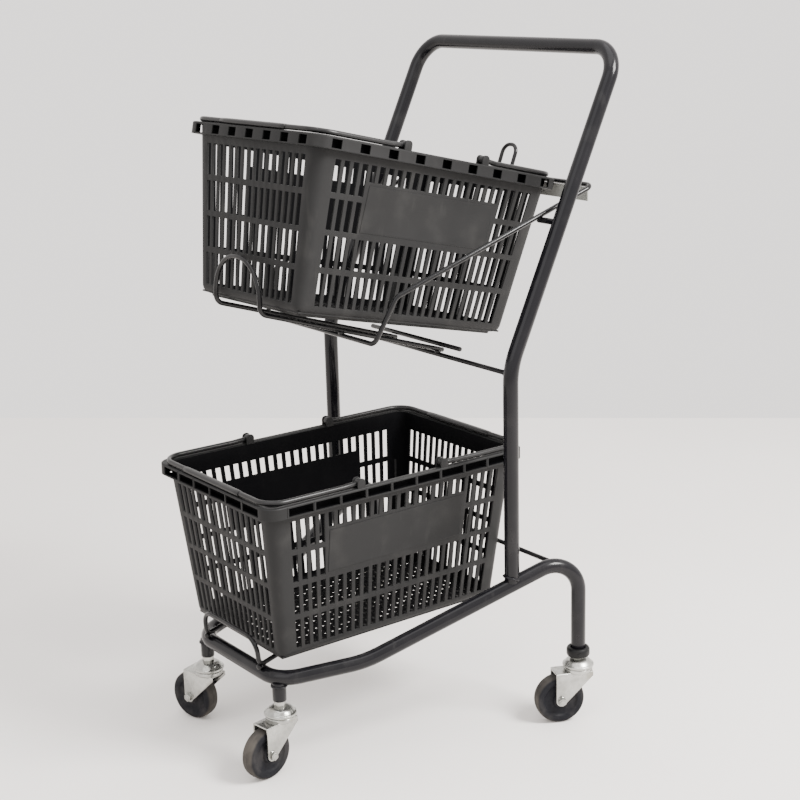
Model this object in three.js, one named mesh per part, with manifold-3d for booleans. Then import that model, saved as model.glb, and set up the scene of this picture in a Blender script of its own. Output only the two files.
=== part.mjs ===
// Rolling basket trolley: a bent-tube frame on four swivel casters that carries two plastic baskets.
// Millimetres, +X is the way the trolley travels, +Y is its left side, +Z is up.
import * as THREE from "three";
import { mergeVertices } from "three/addons/utils/BufferGeometryUtils.js";
import Module from "manifold-3d";

const wasm = await Module();
wasm.setup();

// ---------------------------------------------------------------- driving dimensions
const GAP = 0.3;                       // gap kept between pieces that touch
const SIDES = [1, -1];                 // left side, right side

const FRAME = {
  tube: 22,                            // outer diameter of the frame tubes
  wire: 7,                             // diameter of the carrier wires
  frontX: 147,                         // front crossbar
  frontY: 105,                         // corner of the front crossbar
  frontZ: 141,
  kinkX: 25,                           // where the side rails start to climb
  kinkZ: 149,
  rearX: -290,                         // rear legs
  rearZ: 271,                          // virtual corner above the rear legs
  legBottomZ: 103,
  flare: 0.345,                        // sideways spread of the rails per millimetre of length
  frontBend: 46,
  kinkBend: 160,
  rearBend: 44,
};

const HANDLE = {
  x: -190,                             // uprights
  y: 221,
  bendZ: 559,                          // the uprights lean back above this height
  topX: -398,
  topZ: 989,
  bend: 110,
  corner: 46,
  footLift: 2,                         // the uprights end this far above the rail's centreline
  copeClearance: 0.7,                  // room between the coped foot and the rail, with its facets
};

const CASTER = {
  wheelR: 37.5,
  wheelW: 22,
  hubR: 11,
  webR: 25,                            // outer radius of the recess in the wheel's face
  webDepth: 3.5,
  treadRound: 5,                       // how far the tread's shoulder reaches in
  trail: 30,                           // swivel axis to wheel axis
  boltR: 4,
  boltClearance: 0.45,
  headAcross: 13,                      // bolt head and nut, across corners
  headHeight: 4.5,
  forkInner: 13,                       // half the width between the fork cheeks
  sheet: 2.6,                          // fork metal
  eyeR: 8.5,                           // round end of a cheek about the axle
  raceR: 23.5,
  raceTop: 99,
  raceBottom: 87,
  nutR: 9,
  forkR: 21.5,
  forkRear: -19,                       // the folded fork plate, along the trail
  forkFront: 38.5,
  forkTop: 86.4,
  forkPlateBottom: 79,
};

const BASKET = {
  rimL: 460,
  rimW: 304,
  baseL: 388,
  baseW: 232,
  wallH: 221,                          // floor to the underside of the rim band
  band: 17,
  overhang: 12,                        // rim band beyond the wall
  wall: 2.6,
  rimR: 34,                            // corner radius at the rim
  baseR: 22,
  pivotX: 74,                          // bail pivots from the middle of the basket
  bailWire: 7.4,
  bailDrop: 8,                         // bail centreline in from the rim edge
};

// Where the baskets stand: middle of the floor, nose-up tilt and turn about the vertical, in degrees.
const LOWER = { x: -48, y: 0, z: 172.6, tilt: 0.6, turn: 0 };
const UPPER = { x: -82, y: -4, z: 619.8, tilt: 13.4, turn: 3.5 };

const CARRIER = {
  archHalf: 57,                        // half the width between the runners
  footX: 117.0,                        // where the runners turn up into the arch
  footZ: 657,
  archX: 113.5,
  archZ: 729,
  runnerRearZ: 554.5,
  crossHalf: 135,                      // lower corners of the side wire
  crossX: -17,
  crossZ: 606,
  kneeZ: 671,
  tipX: -372,                          // rear cross wire behind the uprights
  tipY: 197,
  tipZ: 795,
};

// ---------------------------------------------------------------- materials
const paint = (hex, roughness, metalness) =>
  new THREE.MeshStandardMaterial({ color: hex, roughness, metalness });

const MATERIALS = {
  frame: paint(0x2b2a2d, 0.32, 0.35),
  wire: paint(0x2d2c2e, 0.38, 0.4),
  plastic: paint(0x3a3a3b, 0.55, 0.0),
  bail: paint(0x343336, 0.5, 0.0),
  rubber: paint(0x2a2a2e, 0.8, 0.0),
  zinc: paint(0xb9bbb5, 0.35, 0.9),
  cap: paint(0x1c1c1e, 0.6, 0.0),
  strip: paint(0x84857f, 0.5, 0.0),
};

// ---------------------------------------------------------------- shape helpers
const v3 = (x, y, z) => new THREE.Vector3(x, y, z);

// Turns a geometry's faces outward when its volume comes out negative.
function facedOutward(geometry) {
  const flat = geometry.index ? geometry : mergeVertices(geometry);
  const pos = flat.attributes.position;
  const index = flat.index.array;
  const [a, b, c] = [v3(), v3(), v3()];
  let volume = 0;
  for (let i = 0; i < index.length; i += 3) {
    a.fromBufferAttribute(pos, index[i]);
    b.fromBufferAttribute(pos, index[i + 1]);
    c.fromBufferAttribute(pos, index[i + 2]);
    volume += a.dot(b.cross(c));
  }
  if (volume < 0) {
    for (let i = 0; i < index.length; i += 3) {
      [index[i], index[i + 1]] = [index[i + 1], index[i]];
    }
  }
  return flat;
}

// Leaves only merged positions, which is what manifold-3d and a closed mesh need.
function welded(geometry) {
  const bare = geometry.clone();
  for (const name of Object.keys(bare.attributes)) {
    if (name !== "position") bare.deleteAttribute(name);
  }
  return facedOutward(mergeVertices(bare, 1e-3));
}

function toSolid(geometry) {
  const g = welded(geometry);
  return new wasm.Manifold(new wasm.Mesh({
    numProp: 3,
    vertProperties: new Float32Array(g.attributes.position.array),
    triVerts: new Uint32Array(g.index.array),
  }));
}

function fromSolid(solid) {
  const mesh = solid.getMesh();
  const geometry = new THREE.BufferGeometry();
  const positions = new Float32Array(mesh.vertProperties);
  geometry.setAttribute("position", new THREE.BufferAttribute(positions, 3));
  geometry.setIndex(new THREE.BufferAttribute(new Uint32Array(mesh.triVerts), 1));
  return geometry;
}

function joined(first, ...others) {
  return fromSolid(others.reduce((solid, other) => solid.add(toSolid(other)), toSolid(first)));
}

function cutBy(body, ...tools) {
  return fromSolid(tools.reduce((solid, tool) => solid.subtract(toSolid(tool)), toSolid(body)));
}

// A path of straight runs joined by round bends, sampled only where it turns.
class BentPath extends THREE.Curve {
  constructor(corners, radii, perBend = 5) {
    super();
    this.stations = [];
    const add = (point, tangent) => this.stations.push({ point, tangent });
    const last = corners.length - 1;
    add(corners[0], corners[1].clone().sub(corners[0]).normalize());
    for (let i = 1; i < last; i += 1) {
      const back = corners[i - 1].clone().sub(corners[i]).normalize();
      const ahead = corners[i + 1].clone().sub(corners[i]).normalize();
      const radius = Array.isArray(radii) ? radii[i - 1] : radii;
      const inner = back.angleTo(ahead);
      const turn = Math.PI - inner;
      const start = corners[i].clone().addScaledVector(back, radius / Math.tan(inner / 2));
      const inward = back.clone().add(ahead).normalize();
      const centre = corners[i].clone().addScaledVector(inward, radius / Math.sin(inner / 2));
      const axis = ahead.clone().cross(back).normalize();
      const arm = start.clone().sub(centre);
      const travel = back.clone().negate();
      for (let k = 0; k <= perBend; k += 1) {
        const angle = (turn * k) / perBend;
        const sense = this.senseOf(axis, travel, ahead);
        const point = centre.clone().add(arm.clone().applyAxisAngle(axis, sense * angle));
        add(point, travel.clone().applyAxisAngle(axis, sense * angle));
      }
    }
    add(corners[last], corners[last].clone().sub(corners[last - 1]).normalize());
  }

  // +1 when turning about the axis carries the travel direction towards the next run.
  senseOf(axis, travel, ahead) {
    return Math.sign(axis.clone().cross(travel).dot(ahead)) || 1;
  }

  get steps() {
    return this.stations.length - 1;
  }

  getPoint(t) {
    return this.stations[Math.round(t * this.steps)].point.clone();
  }

  getPointAt(t) {
    return this.getPoint(t);
  }

  getTangentAt(t) {
    return this.stations[Math.round(t * this.steps)].tangent.clone();
  }
}

// A circle drawn with a given number of sides.
function roundOutline(radius, sides) {
  const points = [];
  for (let i = 0; i < sides; i += 1) {
    const a = (2 * Math.PI * (i + 0.5)) / sides;
    points.push(new THREE.Vector2(radius * Math.cos(a), radius * Math.sin(a)));
  }
  return new THREE.Shape(points);
}

function bentRod(corners, radii, diameter, sides = 8, perBend = 5) {
  const path = new BentPath(corners, radii, perBend);
  return welded(new THREE.ExtrudeGeometry(roundOutline(diameter / 2, sides), {
    steps: path.steps,
    extrudePath: path,
    bevelEnabled: false,
  }));
}

function straightRod(from, to, diameter, sides = 8) {
  const along = to.clone().sub(from);
  const rod = new THREE.CylinderGeometry(diameter / 2, diameter / 2, along.length(), sides);
  const turn = new THREE.Quaternion().setFromUnitVectors(v3(0, 1, 0), along.clone().normalize());
  rod.applyQuaternion(turn);
  rod.translate(...from.clone().add(to).multiplyScalar(0.5).toArray());
  return welded(rod);
}

// A turned piece about Z; the profile is a list of [radius, z] and starts and ends on the axis or closes.
function turned(profile, segments = 16) {
  const lathe = new THREE.LatheGeometry(profile.map(([r, z]) => new THREE.Vector2(r, z)), segments);
  lathe.rotateX(Math.PI / 2);
  return welded(lathe);
}

function box(sizeX, sizeY, sizeZ, x, y, z) {
  const b = new THREE.BoxGeometry(sizeX, sizeY, sizeZ);
  b.translate(x, y, z);
  return welded(b);
}

// A rounded rectangle in the XY plane, as a ring of points at height z.
function roundedRing(halfX, halfY, radius, z, perCorner = 5) {
  const ring = [];
  const quadrants = [[1, 1], [-1, 1], [-1, -1], [1, -1]];
  quadrants.forEach(([sx, sy], quadrant) => {
    for (let k = 0; k <= perCorner; k += 1) {
      const a = (Math.PI / 2) * (quadrant + k / perCorner);
      const x = sx * (halfX - radius) + radius * Math.cos(a);
      const y = sy * (halfY - radius) + radius * Math.sin(a);
      ring.push(v3(x, y, z));
    }
  });
  return ring;
}

// Skins a row of equal rings and closes both ends with flat fans.
function skinned(rings) {
  const count = rings[0].length;
  const points = rings.flat();
  const faces = [];
  for (let r = 0; r + 1 < rings.length; r += 1) {
    for (let i = 0; i < count; i += 1) {
      const j = (i + 1) % count;
      const [a, b, c, d] = [r * count + i, r * count + j, (r + 1) * count + j, (r + 1) * count + i];
      faces.push(a, b, c, a, c, d);
    }
  }
  const closeWith = (first, flip) => {
    for (let i = 1; i + 1 < count; i += 1) {
      const pair = flip ? [first + i + 1, first + i] : [first + i, first + i + 1];
      faces.push(first, ...pair);
    }
  };
  closeWith(0, true);
  closeWith((rings.length - 1) * count, false);
  const geometry = new THREE.BufferGeometry().setFromPoints(points);
  geometry.setIndex(faces);
  return welded(geometry);
}

const trolley = new THREE.Group();

function addPiece(parent, name, geometry, material) {
  const mesh = new THREE.Mesh(geometry, material);
  mesh.name = name;
  parent.add(mesh);
  return mesh;
}

const sideName = (side) => (side > 0 ? "left" : "right");

// ---------------------------------------------------------------- frame tubes
const railY = (x) => FRAME.frontY + FRAME.flare * (FRAME.frontX - x);

function railZ(x) {
  const climb = (FRAME.rearZ - FRAME.kinkZ) / (FRAME.kinkX - FRAME.rearX);
  return FRAME.kinkZ + climb * (FRAME.kinkX - x);
}

// One tube: down a rear leg, along a side rail, across the front and back again.
function baseTube(diameter = FRAME.tube) {
  const half = (side) => [
    v3(FRAME.rearX, side * railY(FRAME.rearX), FRAME.legBottomZ),
    v3(FRAME.rearX, side * railY(FRAME.rearX), FRAME.rearZ),
    v3(FRAME.kinkX, side * railY(FRAME.kinkX), FRAME.kinkZ),
    v3(FRAME.frontX, side * FRAME.frontY, FRAME.frontZ),
  ];
  const corners = [...half(1), ...half(-1).reverse()];
  const { rearBend, kinkBend, frontBend } = FRAME;
  const radii = [rearBend, kinkBend, frontBend, frontBend, kinkBend, rearBend];
  return bentRod(corners, radii, diameter, 12, 6);
}

// The push handle: two uprights coped onto the rails, leaning back above the bend.
function handleTube() {
  const side = (s) => [
    v3(HANDLE.x, s * HANDLE.y, railZ(HANDLE.x) + HANDLE.footLift),
    v3(HANDLE.x, s * HANDLE.y, HANDLE.bendZ),
    v3(HANDLE.topX, s * HANDLE.y, HANDLE.topZ),
  ];
  const corners = [...side(1), ...side(-1).reverse()];
  const radii = [HANDLE.bend, HANDLE.corner, HANDLE.corner, HANDLE.bend];
  const whole = bentRod(corners, radii, FRAME.tube, 12, 6);
  const onRail = (s, x) => v3(x, s * railY(x), railZ(x));
  const copes = SIDES.map((s) => straightRod(
    onRail(s, FRAME.kinkX - 60),
    onRail(s, FRAME.rearX + 40),
    FRAME.tube + HANDLE.copeClearance + GAP,
    24,
  ));
  return cutBy(whole, ...copes);
}

// ---------------------------------------------------------------- casters
const STUB = { x: FRAME.frontX - 5, y: 99, bottomZ: 108, diameter: 20 };
const COLLAR = { inner: 11.4, outer: 17.5, bottom: 104, top: 117 };

// Short tube under a front corner, coped round the base tube.
function frontStub(side) {
  const place = (z) => v3(STUB.x, side * STUB.y, z);
  const rod = straightRod(place(STUB.bottomZ), place(FRAME.frontZ - 3), STUB.diameter, 12);
  return cutBy(rod, baseTube(FRAME.tube + 2 * GAP));
}

// Stem, nut and domed upper race: the half of the swivel that stays with the frame.
function casterStem(topZ) {
  const { raceR, raceTop, raceBottom, nutR } = CASTER;
  const race = turned([
    [0, raceBottom],
    [raceR - 1.5, raceBottom],
    [raceR, raceBottom + 2.5],
    [raceR - 1.5, raceBottom + 5],
    [15, raceTop - 1.5],
    [11, raceTop],
    [0, raceTop],
  ], 18);
  const nut = new THREE.CylinderGeometry(nutR, nutR, topZ - raceTop + 1, 6);
  nut.rotateX(Math.PI / 2);
  nut.translate(0, 0, (topZ + raceTop - 1) / 2);
  return joined(race, nut);
}

// Swivelling fork: lower race dish, folded plate and two tapered cheeks, drilled for the axle bolt.
function casterFork() {
  const { forkR, forkTop, forkPlateBottom, forkInner, sheet, trail, wheelR, eyeR } = CASTER;
  const { forkRear, forkFront } = CASTER;
  const plate = turned([
    [0, forkPlateBottom],
    [forkR - 3.5, forkPlateBottom],
    [forkR, forkPlateBottom + 2],
    [forkR, forkTop - 2],
    [forkR - 2.5, forkTop],
    [0, forkTop],
  ], 18);
  const fold = box(
    forkFront - forkRear,
    2 * (forkInner + sheet),
    sheet,
    (forkFront + forkRear) / 2,
    0,
    forkPlateBottom + sheet / 2,
  );
  const foldTop = forkPlateBottom + sheet;
  const outline = new THREE.Shape();
  outline.moveTo(forkRear, foldTop);
  outline.lineTo(forkRear, forkPlateBottom - 5);
  outline.lineTo(trail - eyeR + 0.5, wheelR - 4);
  outline.absarc(trail, wheelR, eyeR, 1.1 * Math.PI, 2 * Math.PI, false);
  outline.lineTo(forkFront, foldTop);
  const cheeks = SIDES.map((s) => {
    const cheek = new THREE.ExtrudeGeometry(outline, {
      depth: sheet,
      bevelEnabled: false,
      curveSegments: 4,
    });
    cheek.rotateX(Math.PI / 2);
    cheek.translate(0, s > 0 ? forkInner + sheet : -forkInner, 0);
    return cheek;
  });
  const reach = forkInner + sheet + 2;
  const hole = straightRod(
    v3(trail, -reach, wheelR),
    v3(trail, reach, wheelR),
    2 * (CASTER.boltR + CASTER.boltClearance),
    12,
  );
  return cutBy(joined(plate, fold, ...cheeks), hole);
}

// Rubber-tyred wheel with a stepped hub, turned about its own axle.
function casterWheel() {
  const { wheelR, hubR, webR, webDepth, treadRound } = CASTER;
  const w = CASTER.wheelW / 2;
  const bore = CASTER.boltR + CASTER.boltClearance;
  const half = [
    [bore, w + 1],
    [hubR, w + 1],
    [hubR + 2, w - webDepth],
    [webR, w - webDepth],
    [webR + 2, w - 0.5],
    [wheelR - treadRound, w],
    [wheelR - 1, w - 3],
    [wheelR, w - treadRound - 1.5],
  ];
  const mirror = half.map(([radius, y]) => [radius, -y]).reverse();
  const wheel = turned([...half, ...mirror, half[0]], 22);
  wheel.rotateX(Math.PI / 2);
  wheel.translate(CASTER.trail, 0, wheelR);
  return welded(wheel);
}

// Axle bolt with a hexagon head on one side and a nut on the other.
function casterAxle() {
  const outer = CASTER.forkInner + CASTER.sheet + GAP;
  const onAxle = (y) => v3(CASTER.trail, y, CASTER.wheelR);
  const tip = outer + CASTER.headHeight + 0.5;
  const shank = straightRod(onAxle(-tip), onAxle(tip), 2 * CASTER.boltR, 12);
  const heads = SIDES.map((s) => straightRod(
    onAxle(s * outer),
    onAxle(s * (outer + CASTER.headHeight)),
    CASTER.headAcross,
    6,
  ));
  return joined(shank, ...heads);
}

// Where each caster stands, what it hangs from and which way it has swung.
const CASTERS = [
  { name: "front_left", x: STUB.x, y: STUB.y, top: STUB.bottomZ, angle: 8 },
  { name: "front_right", x: STUB.x, y: -STUB.y, top: STUB.bottomZ, angle: -72 },
  { name: "rear_left", x: FRAME.rearX, y: railY(FRAME.rearX), top: FRAME.legBottomZ, angle: -25 },
  { name: "rear_right", x: FRAME.rearX, y: -railY(FRAME.rearX), top: FRAME.legBottomZ, angle: 25 },
];

function addCaster({ name, x, y, top, angle }) {
  const group = new THREE.Group();
  group.position.set(x, y, 0);
  group.rotation.z = THREE.MathUtils.degToRad(angle);
  trolley.add(group);
  addPiece(group, `${name}_caster_stem`, casterStem(top - GAP), MATERIALS.zinc);
  addPiece(group, `${name}_caster_fork`, casterFork(), MATERIALS.zinc);
  addPiece(group, `${name}_caster_wheel`, casterWheel(), MATERIALS.rubber);
  addPiece(group, `${name}_caster_axle`, casterAxle(), MATERIALS.zinc);
}

// ---------------------------------------------------------------- upper carrier
// Runners under the basket that turn up into a round arch in front of it.
function upperRunners() {
  const w = CARRIER.archHalf;
  const half = (s) => [
    v3(HANDLE.x - 10, s * w, CARRIER.runnerRearZ),
    v3(CARRIER.footX, s * w, CARRIER.footZ),
    v3(CARRIER.archX, s * w, CARRIER.archZ),
  ];
  return bentRod([...half(1), ...half(-1).reverse()], [14, w - 2, w - 2, 14], FRAME.wire, 8, 6);
}

// Side wire: across under the runners, up both sides, back past the uprights and across behind them.
function upperSideWire() {
  const c = CARRIER;
  const half = (s) => [
    v3(c.tipX, s * GAP, c.tipZ),
    v3(c.tipX, s * c.tipY, c.tipZ),
    v3(c.crossX - KNEE.back, s * (c.crossHalf + KNEE.out), c.kneeZ),
    v3(c.crossX, s * c.crossHalf, c.crossZ),
  ];
  return bentRod([...half(1), ...half(-1).reverse()], [12, 16, 12, 12, 16, 12], FRAME.wire, 8, 4);
}

const REAR_LOOP = { half: 15, top: 838, lean: 16 };
const KNEE = { back: 28, out: 16 };    // the side wire's knee, from its lower corner
const PEG = { diameter: 9, past: 8, wireX: 282 };
const STRIP = { thick: 2, wide: 372, high: 20, below: 14 };
const REST = { x: HANDLE.x - 2, z: 565.4, half: 108 };
const CROSS = { x: HANDLE.x, z: 549.6 };

// Narrow upright loop that stands on the rear cross wire and stops the basket sliding back.
function rearLoop() {
  const base = CARRIER.tipZ + FRAME.wire / 2 + GAP;
  const foot = (s) => v3(CARRIER.tipX, s * REAR_LOOP.half, base);
  const head = (s) => v3(CARRIER.tipX - REAR_LOOP.lean, s * REAR_LOOP.half, REAR_LOOP.top);
  return bentRod([foot(1), head(1), head(-1), foot(-1)], REAR_LOOP.half - 1.5, 6, 8, 5);
}

function crossWire(x, z, halfY, diameter = FRAME.wire) {
  return straightRod(v3(x, -halfY, z), v3(x, halfY, z), diameter, 8);
}

// Round peg on the inside of each leaning upright that the side wire rests on.
function uprightPeg(side) {
  const { tipX, tipY, tipZ, crossX, crossHalf, kneeZ } = CARRIER;
  const knee = v3(crossX - KNEE.back, crossHalf + KNEE.out, kneeZ);
  const tip = v3(tipX, tipY, tipZ);
  const lean = (HANDLE.x - HANDLE.topX) / (HANDLE.topZ - HANDLE.bendZ);
  const crossing = knee.clone().lerp(tip, (knee.x + PEG.wireX) / (knee.x - tipX));
  const slope = Math.atan2(tipZ - kneeZ, knee.x - tipX);
  const below = (FRAME.wire + PEG.diameter) / 2 + GAP;
  const z = crossing.z - below * Math.cos(slope);
  const x = HANDLE.x - lean * (z - HANDLE.bendZ);
  const peg = straightRod(
    v3(x, side * (crossing.y - PEG.past), z),
    v3(x, side * (HANDLE.y - 3), z),
    PEG.diameter,
    12,
  );
  const post = straightRod(
    v3(HANDLE.x, side * HANDLE.y, HANDLE.bendZ),
    v3(HANDLE.topX, side * HANDLE.y, HANDLE.topZ),
    FRAME.tube + 2 * GAP,
    24,
  );
  return cutBy(peg, post);
}

// ---------------------------------------------------------------- lower carrier
const LOWER_REAR = { x: -262, z: 251, half: 242 };
const LOWER_RUN = { half: 72, z: 166, archZ: 196, lead: 9 };

// Runners under the lower basket: a low wide arch in front, turned up behind to meet the rear wire.
function lowerRunners() {
  const { half, z, archZ, lead } = LOWER_RUN;
  const frontX = FRAME.frontX + lead;
  const overCrossbar = FRAME.frontZ + (FRAME.tube + FRAME.wire) / 2 + GAP;
  const rearX = LOWER_REAR.x + lead - 3;
  const corners = (s) => [
    v3(rearX, s * half, LOWER_REAR.z - FRAME.wire - GAP),
    v3(rearX, s * half, z),
    v3(FRAME.frontX - 30, s * half, z),
    v3(frontX, s * half, overCrossbar),
    v3(frontX + 4, s * half, archZ),
  ];
  const radii = [14, 60, 8, 24, 24, 8, 60, 14];
  return bentRod([...corners(1), ...corners(-1).reverse()], radii, FRAME.wire, 8, 4);
}

// Straight wire between the rear bends of the base tube, coped onto it at both ends.
function lowerRearWire() {
  return cutBy(crossWire(LOWER_REAR.x, LOWER_REAR.z, LOWER_REAR.half), baseTube(FRAME.tube + 2 * GAP));
}

// ---------------------------------------------------------------- baskets
const BAND_TOP = BASKET.wallH + BASKET.band;
const PIVOT_Z = BAND_TOP + 6.6;
const PIVOT_Y = BASKET.rimW / 2 - BASKET.bailDrop;
const PIVOT = { apart: 5.7, width: 12, height: 14, pin: 5.6, bore: 6.6, eye: 11.6, eyeHalf: 3.6 };

// Half sizes of the outer wall at a height above the basket's floor.
function wallHalf(z) {
  const t = z / BASKET.wallH;
  const topX = BASKET.rimL / 2 - BASKET.overhang;
  const topY = BASKET.rimW / 2 - BASKET.overhang;
  return {
    x: THREE.MathUtils.lerp(BASKET.baseL / 2, topX, t),
    y: THREE.MathUtils.lerp(BASKET.baseW / 2, topY, t),
    r: THREE.MathUtils.lerp(BASKET.baseR, BASKET.rimR - BASKET.overhang / 2, t),
  };
}

// Tapered tub with a hanging rim band, open at the top.
function basketTub() {
  const ring = (z, grow, radiusGrow = grow) => {
    const half = wallHalf(z);
    return roundedRing(half.x + grow, half.y + grow, half.r + radiusGrow, z);
  };
  const t = BASKET.wall;
  const rim = (inset, z) => roundedRing(
    BASKET.rimL / 2 - inset,
    BASKET.rimW / 2 - inset,
    BASKET.rimR - inset,
    z,
  );
  const tub = skinned([
    ring(0, -5),
    ring(4, 0),
    ring(BAND_TOP - t, 0),
    rim(t, BAND_TOP - t),
    rim(t, BASKET.wallH),
    rim(0, BASKET.wallH),
    rim(0, BAND_TOP - 2),
    rim(2, BAND_TOP),
    ring(BAND_TOP, -t),
    ring(t + 4, -t),
    ring(t, -t - 4),
  ]);
  const cheeks = [];
  for (const along of SIDES) {
    for (const across of SIDES) {
      for (const offset of [PIVOT.apart, -PIVOT.apart]) {
        const y = across * (PIVOT_Y + offset);
        cheeks.push(box(PIVOT.width, t, PIVOT.height, along * BASKET.pivotX, y, BAND_TOP + 5.5));
      }
    }
  }
  return joined(tub, ...cheeks);
}

// Bail handle: two arms and a cross grip, with a drilled eye at each end.
function bail(end) {
  const s = end === "front" ? 1 : -1;
  const armZ = BAND_TOP + BASKET.bailWire / 2 + 0.6;
  const reachX = BASKET.rimL / 2 - 6;
  const arm = (side) => v3(s * (BASKET.pivotX + 2), side * PIVOT_Y, PIVOT_Z - 1);
  const crook = (side) => v3(s * (BASKET.pivotX + 26), side * PIVOT_Y, armZ);
  const corner = (side) => v3(s * reachX, side * PIVOT_Y, armZ);
  const rod = bentRod(
    [arm(1), crook(1), corner(1), corner(-1), crook(-1), arm(-1)],
    [40, 30, 30, 40],
    BASKET.bailWire,
    8,
    4,
  );
  const gripEnd = (side) => v3(s * reachX, side * 55, armZ);
  const grip = straightRod(gripEnd(-1), gripEnd(1), BASKET.bailWire + 0.9, 10);
  const eyes = SIDES.map((side) => pivotRod(s, side, PIVOT.eye, PIVOT.eyeHalf, 12));
  const bores = SIDES.map((side) => pivotRod(s, side, PIVOT.bore, 5));
  return cutBy(joined(rod, grip, ...eyes), ...bores);
}

// A short rod on a bail's pivot axis: the pin itself, the bail's eye or the hole through it.
function pivotRod(along, side, diameter, halfLength, sides = 10) {
  const at = (y) => v3(along * BASKET.pivotX, side * PIVOT_Y + y, PIVOT_Z);
  return straightRod(at(-halfLength), at(halfLength), diameter, sides);
}

function addBasket(name, placed) {
  const group = new THREE.Group();
  group.position.set(placed.x, placed.y, placed.z);
  group.rotation.order = "ZYX";
  group.rotation.y = -THREE.MathUtils.degToRad(placed.tilt);
  group.rotation.z = THREE.MathUtils.degToRad(placed.turn);
  trolley.add(group);
  addPiece(group, `${name}_basket_tub`, basketTub(), MATERIALS.plastic);
  for (const end of ["front", "rear"]) {
    const along = end === "front" ? 1 : -1;
    addPiece(group, `${name}_basket_${end}_bail`, bail(end), MATERIALS.bail);
    for (const side of SIDES) {
      const pin = pivotRod(along, side, PIVOT.pin, 4);
      addPiece(group, `${name}_basket_${end}_${sideName(side)}_pin`, pin, MATERIALS.bail);
    }
  }
}

// ---------------------------------------------------------------- assembly
addPiece(trolley, "base_tube", baseTube(), MATERIALS.frame);
addPiece(trolley, "handle_tube", handleTube(), MATERIALS.frame);
for (const side of SIDES) {
  addPiece(trolley, `front_${sideName(side)}_stub`, frontStub(side), MATERIALS.frame);
}
CASTERS.forEach(addCaster);
for (const side of SIDES) {
  const { inner, outer, bottom, top } = COLLAR;
  const collar = turned([
    [inner, bottom],
    [outer - 1, bottom],
    [outer, bottom + 3],
    [outer, top - 3],
    [outer - 1.5, top],
    [inner, top],
    [inner, bottom],
  ], 16);
  collar.translate(FRAME.rearX, side * railY(FRAME.rearX), 0);
  addPiece(trolley, `rear_${sideName(side)}_leg_collar`, collar, MATERIALS.cap);
}

const betweenUprights = HANDLE.y - FRAME.tube / 2 - GAP;
addPiece(trolley, "upper_carrier_runners", upperRunners(), MATERIALS.wire);
addPiece(trolley, "upper_carrier_side_wire", upperSideWire(), MATERIALS.wire);
addPiece(trolley, "upper_carrier_cross_wire", crossWire(CROSS.x, CROSS.z, betweenUprights), MATERIALS.wire);
addPiece(trolley, "upper_carrier_rest_wire", crossWire(REST.x, REST.z, REST.half), MATERIALS.wire);
addPiece(trolley, "upper_carrier_rear_loop", rearLoop(), MATERIALS.wire);
const strip = box(STRIP.thick, STRIP.wide, STRIP.high, CARRIER.tipX, 0, CARRIER.tipZ - STRIP.below);
addPiece(trolley, "upper_carrier_strip", strip, MATERIALS.strip);
for (const side of SIDES) {
  addPiece(trolley, `${sideName(side)}_upright_peg`, uprightPeg(side), MATERIALS.frame);
}
addPiece(trolley, "lower_carrier_runners", lowerRunners(), MATERIALS.wire);
addPiece(trolley, "lower_carrier_rear_wire", lowerRearWire(), MATERIALS.wire);
addBasket("lower", LOWER);
addBasket("upper", UPPER);

// The origin is the middle of the footprint, on the floor.
const bounds = new THREE.Box3().setFromObject(trolley, true);
const middle = bounds.getCenter(new THREE.Vector3());
trolley.position.set(-middle.x, -middle.y, -bounds.min.z);

export default trolley;
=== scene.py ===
"""Detailed model of a rolling basket trolley: bent-tube frame, swivel casters and two plastic baskets.

Lengths are millimetres in the design frame (+X forward, +Y left, +Z up, floor at 0) until a piece is
placed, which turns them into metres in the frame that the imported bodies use.
"""

import logging
import math
from contextlib import contextmanager
from dataclasses import dataclass, field
from enum import Enum
from typing import Callable, Iterator, Sequence

import bmesh
import bpy
from mathutils import Euler, Matrix, Vector


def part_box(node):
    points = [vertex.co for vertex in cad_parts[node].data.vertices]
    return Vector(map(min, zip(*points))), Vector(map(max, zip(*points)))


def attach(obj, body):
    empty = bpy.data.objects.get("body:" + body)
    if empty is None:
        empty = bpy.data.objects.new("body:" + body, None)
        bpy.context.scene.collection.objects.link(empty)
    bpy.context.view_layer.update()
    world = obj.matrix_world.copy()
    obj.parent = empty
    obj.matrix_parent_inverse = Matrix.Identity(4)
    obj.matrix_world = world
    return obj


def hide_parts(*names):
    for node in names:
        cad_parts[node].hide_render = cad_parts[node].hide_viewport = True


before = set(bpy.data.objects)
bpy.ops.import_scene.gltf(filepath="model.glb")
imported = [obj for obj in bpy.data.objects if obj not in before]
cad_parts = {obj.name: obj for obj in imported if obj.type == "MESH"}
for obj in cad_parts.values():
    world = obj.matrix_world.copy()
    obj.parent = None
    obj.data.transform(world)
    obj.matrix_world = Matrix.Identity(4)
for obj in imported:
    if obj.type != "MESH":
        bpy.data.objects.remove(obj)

log = logging.getLogger("trolley")

MM = 0.001
TIP_X = -372.0                       # rear cross wire of the upper carrier, in the design frame
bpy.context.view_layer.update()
STRIP_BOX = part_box("upper_carrier_strip")
SHIFT = Vector(((STRIP_BOX[0].x + STRIP_BOX[1].x) / 2 - TIP_X * MM, 0.0, 0.0))
SIDES = (1, -1)


class Ends(Enum):
    """The two ends of a basket."""

    FRONT = 1
    REAR = -1


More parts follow.
